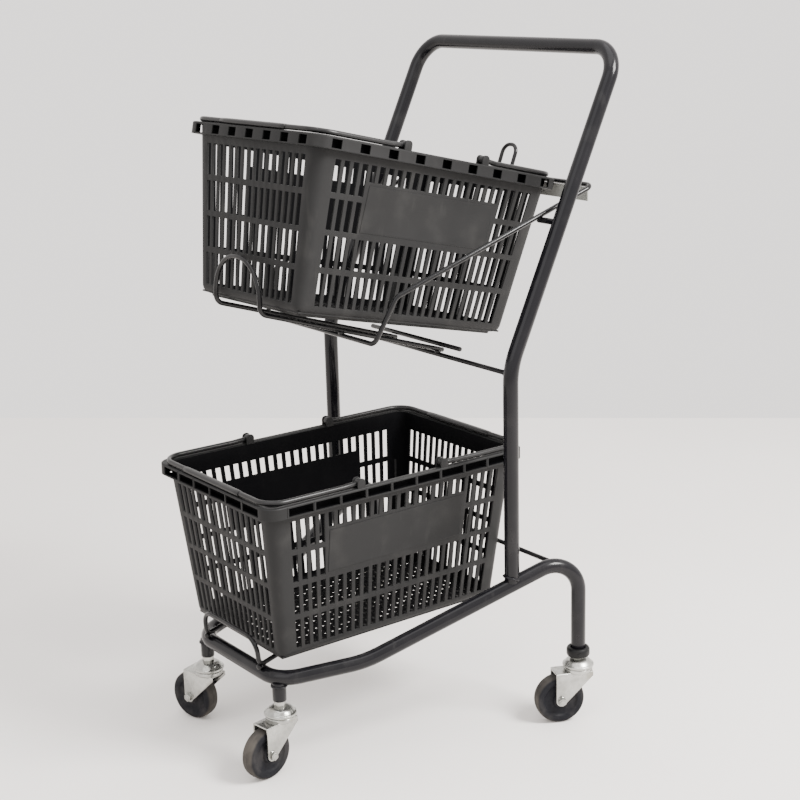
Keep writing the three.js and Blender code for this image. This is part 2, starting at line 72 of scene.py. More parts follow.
# ---------------------------------------------------------------- dimensions
@dataclass(frozen=True)
class FrameSize:
    """Driving dimensions of the tube frame."""

    tube: float = 22.0
    wire: float = 7.0
    front_x: float = 147.0
    front_y: float = 105.0
    front_z: float = 141.0
    kink_x: float = 25.0
    kink_z: float = 149.0
    rear_x: float = -290.0
    rear_z: float = 271.0
    leg_bottom: float = 103.0
    stub_y: float = 99.0
    stub_bottom: float = 108.0
    flare: float = 0.345
    upright_x: float = -190.0
    upright_y: float = 221.0
    bend_z: float = 559.0
    top_x: float = -398.0
    top_z: float = 989.0

    @property
    def stub_x(self) -> float:
        """Where the front stubs stand."""
        return self.front_x - 5

    def rail_y(self, x: float) -> float:
        """Distance of a side rail from the middle, at x."""
        return self.front_y + self.flare * (self.front_x - x)

    def rail_z(self, x: float) -> float:
        """Height of a side rail's centreline, at x behind the kink."""
        climb = (self.rear_z - self.kink_z) / (self.kink_x - self.rear_x)
        return self.kink_z + climb * (self.kink_x - x)


@dataclass(frozen=True)
class CarrierSize:
    """Driving dimensions of the carriers' wires."""

    upper_y: float = 57.0
    foot_x: float = 117.0
    foot_z: float = 657.0
    arch_x: float = 113.5
    arch_z: float = 729.0
    cross_z: float = 549.6
    tip_z: float = 795.0
    loop_y: float = 15.0
    lower_y: float = 72.0
    lower_z: float = 166.0
    rear_x: float = -262.0
    rear_z: float = 251.0


@dataclass(frozen=True)
class BasketSize:
    """Driving dimensions of a basket, in its own frame with the floor at height 0."""

    rim_l: float = 460.0
    rim_w: float = 304.0
    base_l: float = 388.0
    base_w: float = 232.0
    wall_h: float = 221.0
    band: float = 17.0
    overhang: float = 12.0
    wall: float = 2.6
    rim_r: float = 22.0
    base_r: float = 12.0
    pivot_x: float = 74.0
    bail_wire: float = 7.4
    bail_drop: float = 8.0
    long_slots: int = 24
    short_slots: int = 16
    slot_share: float = 0.6
    slotted_l: float = 171.0          # half the slotted length of a long wall at the floor
    slotted_l_gain: float = 19.0      # how much longer that is at the rim
    slotted_w: float = 102.0          # the same two for a short wall
    slotted_w_gain: float = 14.5
    label_slots: int = 4              # full slots on each side of the label panel

    @property
    def top(self) -> float:
        """Height of the rim."""
        return self.wall_h + self.band


@dataclass(frozen=True)
class Stand:
    """Where a basket stands: middle of its floor, nose-up tilt and turn about the vertical in degrees."""

    x: float
    y: float
    z: float
    tilt: float
    turn: float

    @property
    def matrix(self) -> Matrix:
        """Matrix from the basket's own millimetres to the design frame's."""
        turn = Matrix.Rotation(math.radians(self.turn), 4, "Z")
        tilt = Matrix.Rotation(-math.radians(self.tilt), 4, "Y")
        return Matrix.Translation((self.x, self.y, self.z)) @ turn @ tilt


@dataclass(frozen=True)
class CasterSize:
    """Driving dimensions of a caster, in its own frame on the floor under its stem."""

    wheel_r: float = 37.5
    trail: float = 30.0
    fork_inner: float = 13.0
    sheet: float = 2.6
    eye_r: float = 8.5
    fork_rear: float = -19.0
    fork_front: float = 38.5
    plate_bottom: float = 79.0
    head_across: float = 13.0


FRAME = FrameSize()
CARRIER = CarrierSize()
BASKET = BasketSize()
CASTER = CasterSize()
STANDS = {
    "lower": Stand(-48.0, 0.0, 172.6, 0.6, 0.0),
    "upper": Stand(-82.0, -4.0, 619.8, 13.4, 3.5),
}


# ---------------------------------------------------------------- modelling helpers
def spot(x: float, y: float, z: float) -> Vector:
    """A point given in millimetres, in metres."""
    return Vector((x, y, z)) * MM


def deselect() -> None:
    """Leaves edit mode and selects nothing."""
    if bpy.context.mode != "OBJECT":
        bpy.ops.object.mode_set(mode="OBJECT")
    bpy.ops.object.select_all(action="DESELECT")


def start(name: str, adder: Callable, **options) -> bpy.types.Object:
    """Adds a primitive at the origin.

    Args:
        name: name of the new piece.
        adder: the primitive's operator.
        **options: passed to the operator.

    Returns:
        The new object.
    """
    deselect()
    adder(**options)
    piece = bpy.context.active_object
    piece.name = name
    piece.data.name = name
    return piece


def activate(piece: bpy.types.Object) -> None:
    """Makes a piece the only selected and the active object."""
    deselect()
    piece.select_set(True)
    bpy.context.view_layer.objects.active = piece


@contextmanager
def editing(piece: bpy.types.Object) -> Iterator[bmesh.types.BMesh]:
    """Edit mode on one piece, with everything selected.

    Args:
        piece: the piece to edit.

    Yields:
        Its edit mesh.
    """
    activate(piece)
    bpy.ops.object.mode_set(mode="EDIT")
    bpy.ops.mesh.select_mode(type="VERT")
    bpy.ops.mesh.select_all(action="SELECT")
    yield bmesh.from_edit_mesh(piece.data)
    bpy.ops.object.mode_set(mode="OBJECT")


def pick_faces(piece: bpy.types.Object, test: Callable[[bmesh.types.BMFace], bool]) -> None:
    """In edit mode, selects just the faces that pass a test.

    Args:
        piece: the piece in edit mode.
        test: true for a face to select.
    """
    bpy.ops.mesh.select_mode(type="FACE")
    bpy.ops.mesh.select_all(action="DESELECT")
    mesh = bmesh.from_edit_mesh(piece.data)
    for face in mesh.faces:
        face.select_set(test(face))
    bmesh.update_edit_mesh(piece.data)


def modify(piece: bpy.types.Object, kind: str, **settings) -> None:
    """Adds a modifier and applies it.

    Args:
        piece: the piece to change.
        kind: modifier type.
        **settings: the modifier's properties.
    """
    activate(piece)
    modifier = piece.modifiers.new(kind.title(), kind)
    for key, value in settings.items():
        setattr(modifier, key, value)
    bpy.ops.object.modifier_apply(modifier=modifier.name)


def bevel(piece: bpy.types.Object, width: float, segments: int = 2, angle: float = 35.0) -> None:
    """Rounds a piece's sharp edges by a width in millimetres."""
    modify(
        piece,
        "BEVEL",
        width=width * MM,
        segments=segments,
        limit_method="ANGLE",
        angle_limit=math.radians(angle),
        harden_normals=False,
    )


def round_edges(
    piece: bpy.types.Object, width: float, segments: int, test: Callable[[Vector, Vector], bool]
) -> None:
    """Rounds just the edges that pass a test.

    Args:
        piece: the piece to change.
        width: bevel width in millimetres.
        segments: faces across the rounding.
        test: given an edge's two ends in metres, true if it is to be rounded.
    """
    with editing(piece) as mesh:
        bpy.ops.mesh.select_mode(type="EDGE")
        bpy.ops.mesh.select_all(action="DESELECT")
        for edge in mesh.edges:
            edge.select_set(test(*(vert.co for vert in edge.verts)))
        bpy.ops.mesh.bevel(offset=width * MM, segments=segments, affect="EDGES")


def put(piece: bpy.types.Object, matrix: Matrix) -> bpy.types.Object:
    """Moves a piece by a matrix and bakes that into its mesh."""
    activate(piece)
    piece.matrix_world = matrix @ piece.matrix_world
    bpy.ops.object.transform_apply(location=True, rotation=True, scale=True)
    return piece


def aim(axis: Vector) -> Matrix:
    """Rotation that turns +Z to an axis."""
    return axis.to_track_quat("Z", "Y").to_matrix().to_4x4()


def towards(azimuth: float, elevation: float) -> Vector:
    """Unit vector, from degrees from forward towards the left and degrees above the horizon."""
    az, el = math.radians(azimuth), math.radians(elevation)
    return Vector((math.cos(el) * math.cos(az), math.cos(el) * math.sin(az), math.sin(el)))


def in_metres(matrix: Matrix) -> Matrix:
    """A matrix between millimetre frames as one between the same frames in metres."""
    scaled = matrix.copy()
    scaled.translation = matrix.translation * MM
    return scaled


def join(name: str, pieces: Sequence[bpy.types.Object]) -> bpy.types.Object:
    """Joins pieces into the first one and renames it."""
    deselect()
    for piece in pieces:
        piece.select_set(True)
    bpy.context.view_layer.objects.active = pieces[0]
    if len(pieces) > 1:
        bpy.ops.object.join()
    pieces[0].name = name
    pieces[0].data.name = name
    return pieces[0]


def twin(piece: bpy.types.Object, name: str) -> bpy.types.Object:
    """A copy of a piece with a mesh of its own."""
    copy = piece.copy()
    copy.data = piece.data.copy()
    copy.name = name
    copy.data.name = name
    bpy.context.collection.objects.link(copy)
    return copy


def box(name: str, size: Vector, middle: Vector, round_by: float = 0.0) -> bpy.types.Object:
    """A box with softened edges.

    Args:
        name: name of the new piece.
        size: its three sides in millimetres.
        middle: its centre in millimetres.
        round_by: bevel width in millimetres.

    Returns:
        The new object.
    """
    piece = start(name, bpy.ops.mesh.primitive_cube_add, size=1.0)
    put(piece, Matrix.Translation(middle * MM) @ Matrix.Diagonal((*(size * MM), 1.0)))
    if round_by:
        bevel(piece, round_by)
    return piece


def cylinder(name: str, sides: int, radius: float, depth: float) -> bpy.types.Object:
    """A cylinder along Z round the origin, in millimetres."""
    adder = bpy.ops.mesh.primitive_cylinder_add
    return start(name, adder, vertices=sides, radius=radius * MM, depth=depth * MM)


def bent_tube(
    name: str,
    corners: Sequence[Vector],
    radii: Sequence[float],
    diameter: float,
    sides: int = 28,
    steps: int = 12,
    cap: float = 0.8,
) -> bpy.types.Object:
    """A round tube extruded along straight runs and spun round each bend.

    Args:
        name: name of the new piece.
        corners: where the centreline's runs would meet, in millimetres.
        radii: bend radius at each corner between the ends.
        diameter: outer diameter.
        sides: faces round the tube.
        steps: rings in each bend.
        cap: rounding of the end faces.

    Returns:
        The new object.
    """
    piece = start(name, bpy.ops.mesh.primitive_circle_add, vertices=sides, radius=diameter / 2 * MM)
    points = [corner * MM for corner in corners]
    first = (points[1] - points[0]).normalized()
    put(piece, Matrix.Translation(points[0]) @ aim(first))
    here = points[0]
    with editing(piece):
        for before, corner, after, radius in zip(points, points[1:], points[2:], radii):
            travel = (corner - before).normalized()
            ahead = (after - corner).normalized()
            turn = travel.angle(ahead)
            reach = radius * MM * math.tan(turn / 2)
            bend_start = corner - travel * reach
            run = bend_start - here
            if run.length > 1e-5:
                bpy.ops.mesh.extrude_region_move(TRANSFORM_OT_translate={"value": run})
            inward = (ahead - travel * ahead.dot(travel)).normalized()
            bpy.ops.mesh.spin(
                steps=steps,
                angle=-turn,
                center=bend_start + inward * radius * MM,
                axis=travel.cross(ahead).normalized(),
            )
            here = corner + ahead * reach
        bpy.ops.mesh.extrude_region_move(TRANSFORM_OT_translate={"value": points[-1] - here})
        bpy.ops.mesh.select_all(action="SELECT")
        bpy.ops.mesh.fill_holes(sides=0)
    if cap:
        bevel(piece, cap, 2, 60.0)
    return piece


def rod(name: str, a: Vector, b: Vector, diameter: float, sides: int = 20, cap: float = 0.8) -> bpy.types.Object:
    """A straight round bar between two points in millimetres, with rounded ends."""
    return bent_tube(name, [a, b], [], diameter, sides, 1, cap)


def turned(
    name: str,
    profile: Sequence[tuple[float, float]],
    sides: int = 40,
    closed: bool = False,
    soften: float = 0.4,
) -> bpy.types.Object:
    """A piece turned about Z from rings that are extruded and resized in turn.

    Args:
        name: name of the new piece.
        profile: (radius, height) of each ring in millimetres.
        sides: faces round the axis.
        closed: joins the last ring to the first one; otherwise both ends are filled flat.
        soften: bevel width in millimetres.

    Returns:
        The new object.
    """
    radius, height = profile[0]
    piece = start(name, bpy.ops.mesh.primitive_circle_add, vertices=sides, radius=radius * MM)
    put(piece, Matrix.Translation(spot(0, 0, height)))
    with editing(piece):
        for (r0, z0), (r1, z1) in zip(profile, profile[1:]):
            bpy.ops.mesh.extrude_region_move(TRANSFORM_OT_translate={"value": spot(0, 0, z1 - z0)})
            grow = r1 / r0
            bpy.ops.transform.resize(value=(grow, grow, 1.0), center_override=spot(0, 0, z1))
        bpy.ops.mesh.select_all(action="SELECT")
        if closed:
            bpy.ops.mesh.select_non_manifold(extend=False, use_wire=False, use_multi_face=False)
            bpy.ops.mesh.bridge_edge_loops()
        else:
            bpy.ops.mesh.fill_holes(sides=0)
    if soften:
        bevel(piece, soften, 2, 25.0)
    return piece


def bead(name: str, middle: Vector, axis: Vector, radius: float, thick: float, seed: int) -> bpy.types.Object:
    """A lumpy weld bead round a joint, its points shaken a little.

    Args:
        name: name of the new piece.
        middle: centre in millimetres.
        axis: what the bead runs round.
        radius: radius of the bead's centreline.
        thick: radius of its section.
        seed: picks the bead's own lumps.

    Returns:
        The new object.
    """
    piece = start(
        name,
        bpy.ops.mesh.primitive_torus_add,
        major_radius=radius * MM,
        minor_radius=thick * MM,
        major_segments=36,
        minor_segments=10,
    )
    with editing(piece):
        bpy.ops.transform.vertex_random(offset=thick * 0.22 * MM, uniform=0.4, normal=0.6, seed=seed)
    return put(piece, Matrix.Translation(middle * MM) @ aim(axis))


def blob(name: str, middle: Vector, size: Vector, seed: int) -> bpy.types.Object:
    """A small drop of weld where two wires cross."""
    piece = start(name, bpy.ops.mesh.primitive_ico_sphere_add, subdivisions=3, radius=MM)
    with editing(piece):
        bpy.ops.transform.vertex_random(offset=0.08 * MM, uniform=0.4, normal=0.6, seed=seed)
    return put(piece, Matrix.Translation(middle * MM) @ Matrix.Diagonal((*size, 1.0)))


# ---------------------------------------------------------------- shader helpers
@dataclass(frozen=True)
class Value:
    """One number of a shader, which can be reckoned with like any other."""

    graph: "Graph"
    socket: bpy.types.NodeSocket

    def _with(self, operation: str, a: "Value | float", b: "Value | float") -> "Value":
        return self.graph.math(operation, a, b)

    def __add__(self, other: "Value | float") -> "Value":
        return self._with("ADD", self, other)

    def __radd__(self, other: float) -> "Value":
        return self._with("ADD", other, self)

    def __sub__(self, other: "Value | float") -> "Value":
        return self._with("SUBTRACT", self, other)

    def __rsub__(self, other: float) -> "Value":
        return self._with("SUBTRACT", other, self)

    def __mul__(self, other: "Value | float") -> "Value":
        return self._with("MULTIPLY", self, other)

    def __pow__(self, other: float) -> "Value":
        return self._with("POWER", self, other)

    def between(self, low: float, high: float) -> "Value":
        """0 below low, 1 above high and smooth in between."""
        node = self.graph.node(
            "ShaderNodeMapRange",
            {"interpolation_type": "SMOOTHSTEP"},
            {"Value": self, "From Min": low, "From Max": high},
        )
        return Value(self.graph, node.outputs["Result"])


class Graph:
    """A material's node tree and the few ways the finishes add to it."""

    def __init__(self, name: str) -> None:
        """Starts an empty material.

        Args:
            name: the material's name.
        """
        self.material = bpy.data.materials.new(name)
        self.material.use_nodes = True
        self.tree = self.material.node_tree
        self.tree.nodes.clear()
        self.place = self.node("ShaderNodeTexCoord").outputs["Object"]

    def node(self, kind: str, settings: dict | None = None, inputs: dict | None = None) -> bpy.types.Node:
        """Adds a node.

        Args:
            kind: the node's type.
            settings: its properties.
            inputs: what goes into its sockets, by name or number: a Value, a socket or a constant.

        Returns:
            The new node.
        """
        made = self.tree.nodes.new(kind)
        for key, value in (settings or {}).items():
            setattr(made, key, value)
        for key, value in (inputs or {}).items():
            source = value.socket if isinstance(value, Value) else value
            if isinstance(source, bpy.types.NodeSocket):
                self.tree.links.new(source, made.inputs[key])
            else:
                made.inputs[key].default_value = source
        return made

    def math(self, operation: str, a: "Value | float", b: "Value | float" = 0.0) -> Value:
        """One sum as a node."""
        made = self.node("ShaderNodeMath", {"operation": operation}, {0: a, 1: b})
        return Value(self, made.outputs[0])

    def mapped(
        self, stretch: Sequence[float] = (1, 1, 1), shift: Sequence[float] = (0, 0, 0)
    ) -> bpy.types.NodeSocket:
        """Object coordinates, stretched and shifted."""
        inputs = {"Vector": self.place, "Scale": stretch, "Location": shift}
        return self.node("ShaderNodeMapping", None, inputs).outputs["Vector"]

    def noise(
        self, scale: float, detail: float = 4.0, stretch: Sequence[float] = (1, 1, 1), shift: float = 0.0
    ) -> Value:
        """Cloudy noise from about 0.25 to 0.75."""
        inputs = {"Vector": self.mapped(stretch, (shift, shift, shift)), "Scale": scale, "Detail": detail}
        return Value(self, self.node("ShaderNodeTexNoise", None, inputs).outputs[0])

    def cells(self, scale: float, stretch: Sequence[float] = (1, 1, 1)) -> Value:
        """Distance to the nearest of many scattered points."""
        inputs = {"Vector": self.mapped(stretch), "Scale": scale}
        return Value(self, self.node("ShaderNodeTexVoronoi", None, inputs).outputs["Distance"])

    def axis(self, name: str, vector: bpy.types.NodeSocket | None = None) -> Value:
        """One of the X, Y and Z parts of a vector, by default of the object coordinates."""
        made = self.node("ShaderNodeSeparateXYZ", None, {0: vector or self.place})
        return Value(self, made.outputs[name])

    def blend(self, share: Value, a: object, b: object) -> bpy.types.NodeSocket:
        """Colour a where share is 0 and b where it is 1."""
        made = self.node("ShaderNodeMix", {"data_type": "RGBA"}, {0: share, 6: a, 7: b})
        return made.outputs[2]

    def bump(self, height: Value, distance: float, strength: float = 1.0) -> bpy.types.NodeSocket:
        """Normals of a relief of that height in metres."""
        inputs = {"Height": height, "Distance": distance, "Strength": strength}
        return self.node("ShaderNodeBump", None, inputs).outputs[0]

    def finish(self, **surface: object) -> bpy.types.Material:
        """Closes the material with one Principled surface.

        Args:
            **surface: its sockets, with _ for a space.

        Returns:
            The material.
        """
        inputs = {key.replace("_", " "): value for key, value in surface.items()}
        shader = self.node("ShaderNodeBsdfPrincipled", None, inputs)
        self.node("ShaderNodeOutputMaterial", None, {"Surface": shader.outputs[0]})
        return self.material


def rgb(r: float, g: float, b: float) -> tuple[float, float, float, float]:
    """A linear colour with full alpha."""
    return (r, g, b, 1.0)


# ---------------------------------------------------------------- finishes
@dataclass(frozen=True)
class Finish:
    """A painted or moulded surface: two close tones in patches, fine grain, scuffs and a little dust."""

    name: str
    slot: str | None
    dark: tuple
    light: tuple
    dust: tuple = rgb(0.16, 0.155, 0.145)
    dust_share: float = 0.10
    patch: float = 9.0
    grain: float = 420.0
    grain_depth: float = 0.00005
    wave: float = 30.0
    wave_depth: float = 0.0002
    roughness: float = 0.4
    spread: float = 0.16
    metallic: float = 0.0
    coat: float = 0.0
    coat_roughness: float = 0.12
    specular: float = 0.5

    def build(self) -> bpy.types.Material:
        """Makes the material."""
        g = Graph(self.name)
        patches = g.noise(self.patch, 5.0).between(0.36, 0.66)
        grain = g.noise(self.grain, 3.0, shift=0.3)
        wave = g.noise(self.wave, 2.0, shift=0.7)
        scuffs = g.noise(60.0, 6.0, (1.0, 1.0, 0.25), 1.3).between(0.60, 0.74)
        settled = g.noise(22.0, 6.0, shift=2.1).between(0.50, 0.78) * self.dust_share
        tone = g.blend(patches, self.dark, self.light)
        scuffed = g.blend(scuffs * (self.dust_share * 0.8), tone, self.dust)
        colour = g.blend(settled, scuffed, self.dust)
        rough = (
            self.roughness
            + (patches - 0.5) * self.spread
            + (grain - 0.5) * self.spread
            + settled * 0.6
            + scuffs * (self.spread * 0.5)
        )
        relief = grain * self.grain_depth + wave * self.wave_depth - scuffs * (self.grain_depth * 0.5)
        return g.finish(
            Base_Color=colour,
            Roughness=rough,
            Metallic=self.metallic,
            Coat_Weight=self.coat,
            Coat_Roughness=self.coat_roughness,
            Specular_IOR_Level=self.specular,
            Normal=g.bump(relief, 1.0),
        )


@dataclass(frozen=True)
class ZincFinish(Finish):
    """Zinc-plated pressed steel: faint crystal patches, yellowish passivation and dull rubbed spots."""

    def build(self) -> bpy.types.Material:
        """Makes the material."""
        g = Graph(self.name)
        spangle = g.cells(130.0).between(0.1, 0.8)
        haze = g.noise(26.0, 5.0).between(0.38, 0.68)
        stain = g.noise(48.0, 6.0, shift=1.9).between(0.55, 0.75)
        lines = g.noise(300.0, 3.0, (1.0, 1.0, 0.08), 0.4)
        tone = g.blend(haze * 0.7 + spangle * 0.3, self.dark, self.light)
        colour = g.blend(stain * 0.55, tone, self.dust)
        rough = self.roughness + (haze - 0.5) * self.spread + (lines - 0.5) * 0.2 + stain * 0.22
        relief = lines * 0.00004 + haze * 0.0001 + spangle * 0.00002
        return g.finish(
            Base_Color=colour,
            Roughness=rough,
            Metallic=self.metallic - stain * 0.25,
            Specular_IOR_Level=self.specular,
            Normal=g.bump(relief, 1.0),
        )


@dataclass(frozen=True)
class WheelFinish(Finish):
    """Moulded rubber whose tread has picked up brown-grey floor dirt; the sides stay darker."""

    middle: tuple = (0.0, 0.0, 0.0)
    angle: float = 0.0
    tread_from: float = 34.0

    def build(self) -> bpy.types.Material:
        """Makes the material for one wheel, whose centre and heading the dirt follows."""
        g = Graph(self.name)
        back = Vector(self.middle)
        back.rotate(Euler((0.0, 0.0, -self.angle)))
        moved = g.node(
            "ShaderNodeMapping",
            None,
            {"Vector": g.place, "Rotation": (0.0, 0.0, -self.angle), "Location": tuple(-back)},
        ).outputs["Vector"]
        along = g.axis("X", moved)
        up = g.axis("Z", moved)
        radius = (along * along + up * up) ** 0.5
        tread = radius.between(self.tread_from * MM, (self.tread_from + 3.0) * MM)
        grit = g.noise(240.0, 5.0).between(0.4, 0.62)
        smear = g.noise(34.0, 5.0, shift=0.8).between(0.42, 0.66)
        tone = g.blend(smear, self.dark, self.light)
        side_dust = (1.0 - tread) * smear * 0.16
        colour = g.blend(tread * (0.45 + smear * 0.4) + side_dust, tone, self.dust)
        rough = self.roughness + grit * 0.12 - smear * 0.08 + tread * 0.1
        relief = grit * 0.00008 + g.noise(900.0, 2.0) * 0.00005 + tread * smear * 0.0001
        return g.finish(
            Base_Color=colour,
            Roughness=rough,
            Specular_IOR_Level=self.specular,
            Normal=g.bump(relief, 1.0),
        )


@dataclass(frozen=True)
class FloorFinish(Finish):
    """Plain matt floor with barely visible mottling."""

    def build(self) -> bpy.types.Material:
        """Makes the material."""
        g = Graph(self.name)
        cloud = g.noise(1.7, 4.0).between(0.35, 0.65)
        fleck = g.noise(140.0, 4.0)
        colour = g.blend(cloud * 0.6 + fleck * 0.3, self.dark, self.light)
        rough = self.roughness + (fleck - 0.5) * 0.1
        return g.finish(Base_Color=colour, Roughness=rough, Normal=g.bump(fleck * 0.0001, 1.0))


FRAME_PAINT = Finish(
    "frame_paint", "frame_paint", rgb(0.0038, 0.0037, 0.0050), rgb(0.0056, 0.0053, 0.0068),
    dust_share=0.04, roughness=0.22, spread=0.1, coat=0.14, coat_roughness=0.06,
    grain_depth=0.00002, wave_depth=0.00012, specular=0.16,
)
WIRE_PAINT = Finish(
    "wire_paint", "wire_paint", rgb(0.0038, 0.0038, 0.0045), rgb(0.0060, 0.0058, 0.0064),
    dust_share=0.05, roughness=0.27, spread=0.12, coat=0.14, specular=0.2, grain_depth=0.00003, wave_depth=0.0001,
)
BASKET_PLASTIC = Finish(
    "basket_plastic", "basket_plastic", rgb(0.0125, 0.0125, 0.0128), rgb(0.0155, 0.0155, 0.0158),
    dust_share=0.05, roughness=0.5, spread=0.12, specular=0.12, grain=520.0, grain_depth=0.00004, wave_depth=0.0002,
)
# Painted shade: a near-black, duller copy of the basket plastic, put on the tubs' inward faces and behind the rim
# windows where shade falls.
PAINTED_SHADE_PLASTIC = Finish(
    "basket_plastic_painted_shade", "basket_plastic", rgb(0.0012, 0.0012, 0.0016), rgb(0.0020, 0.0020, 0.0024),
    dust_share=0.008, roughness=0.62, spread=0.1, specular=0.035, grain=520.0, grain_depth=0.00003, wave_depth=0.0001,
)
BAIL_PLASTIC = Finish(
    "bail_plastic", "bail_plastic", rgb(0.0060, 0.0060, 0.0064), rgb(0.0085, 0.0085, 0.0090),
    dust_share=0.04, roughness=0.34, spread=0.1, specular=0.32, grain=500.0, grain_depth=0.00004, wave_depth=0.00012,
)
COLLAR_PLASTIC = Finish(
    "collar_plastic", "collar_plastic", rgb(0.0030, 0.0030, 0.0033), rgb(0.0050, 0.0050, 0.0054),
    dust_share=0.03, specular=0.16, roughness=0.42, spread=0.14, grain_depth=0.00005,
)
STRIP_PLASTIC = Finish(
    "strip_plastic", "strip_plastic", rgb(0.21, 0.215, 0.20), rgb(0.27, 0.27, 0.255),
    dust_share=0.15, roughness=0.45, spread=0.15, grain_depth=0.00005,
)
ZINC_STEEL = ZincFinish(
    "zinc_steel", "zinc_steel", rgb(0.30, 0.30, 0.285), rgb(0.47, 0.47, 0.445),
    dust=rgb(0.20, 0.18, 0.13), roughness=0.24, spread=0.16, metallic=0.92,
)
STUDIO_FLOOR = FloorFinish("studio_floor", None, rgb(0.78, 0.752, 0.730), rgb(0.82, 0.792, 0.768), roughness=0.7)


@dataclass
class Workshop:
    """Hands finished pieces over: place, normals, shading, finish and the body each one rides on."""

    materials: dict[str, bpy.types.Material] = field(default_factory=dict)
    made: list[str] = field(default_factory=list)

    def material(self, finish: Finish) -> bpy.types.Material:
        """The material of a finish, made once."""
        if finish.name not in self.materials:
            self.materials[finish.name] = finish.build()
        return self.materials[finish.name]

    def hand_over(
        self,
        piece: bpy.types.Object,
        finish: Finish,
        body: str,
        replaces: Sequence[str],
        matrix: Matrix | None = None,
        angle: float = 38.0,
    ) -> bpy.types.Object:
        """Finishes one piece.

        Args:
            piece: the modelled piece, in metres but in the design frame or the frame that matrix is from.
            finish: its surface.
            body: the moving body it rides on.
            replaces: the CAD nodes it stands for.
            matrix: from the piece's frame to the design frame, in millimetres.
            angle: edges sharper than this many degrees stay sharp.

        Returns:
            The piece.
        """
        if matrix is not None:
            put(piece, in_metres(matrix))
        put(piece, Matrix.Translation(SHIFT))
        with editing(piece):
            bpy.ops.mesh.normals_make_consistent(inside=False)
        activate(piece)
        bpy.ops.object.shade_smooth_by_angle(angle=math.radians(angle))
        piece.data.materials.clear()
        piece.data.materials.append(self.material(finish))
        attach(piece, body)
        if replaces:
            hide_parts(*replaces)
        self.made.append(piece.name)
        log.info("%-28s %6d faces on %s", piece.name, len(piece.data.polygons), body)
        return piece


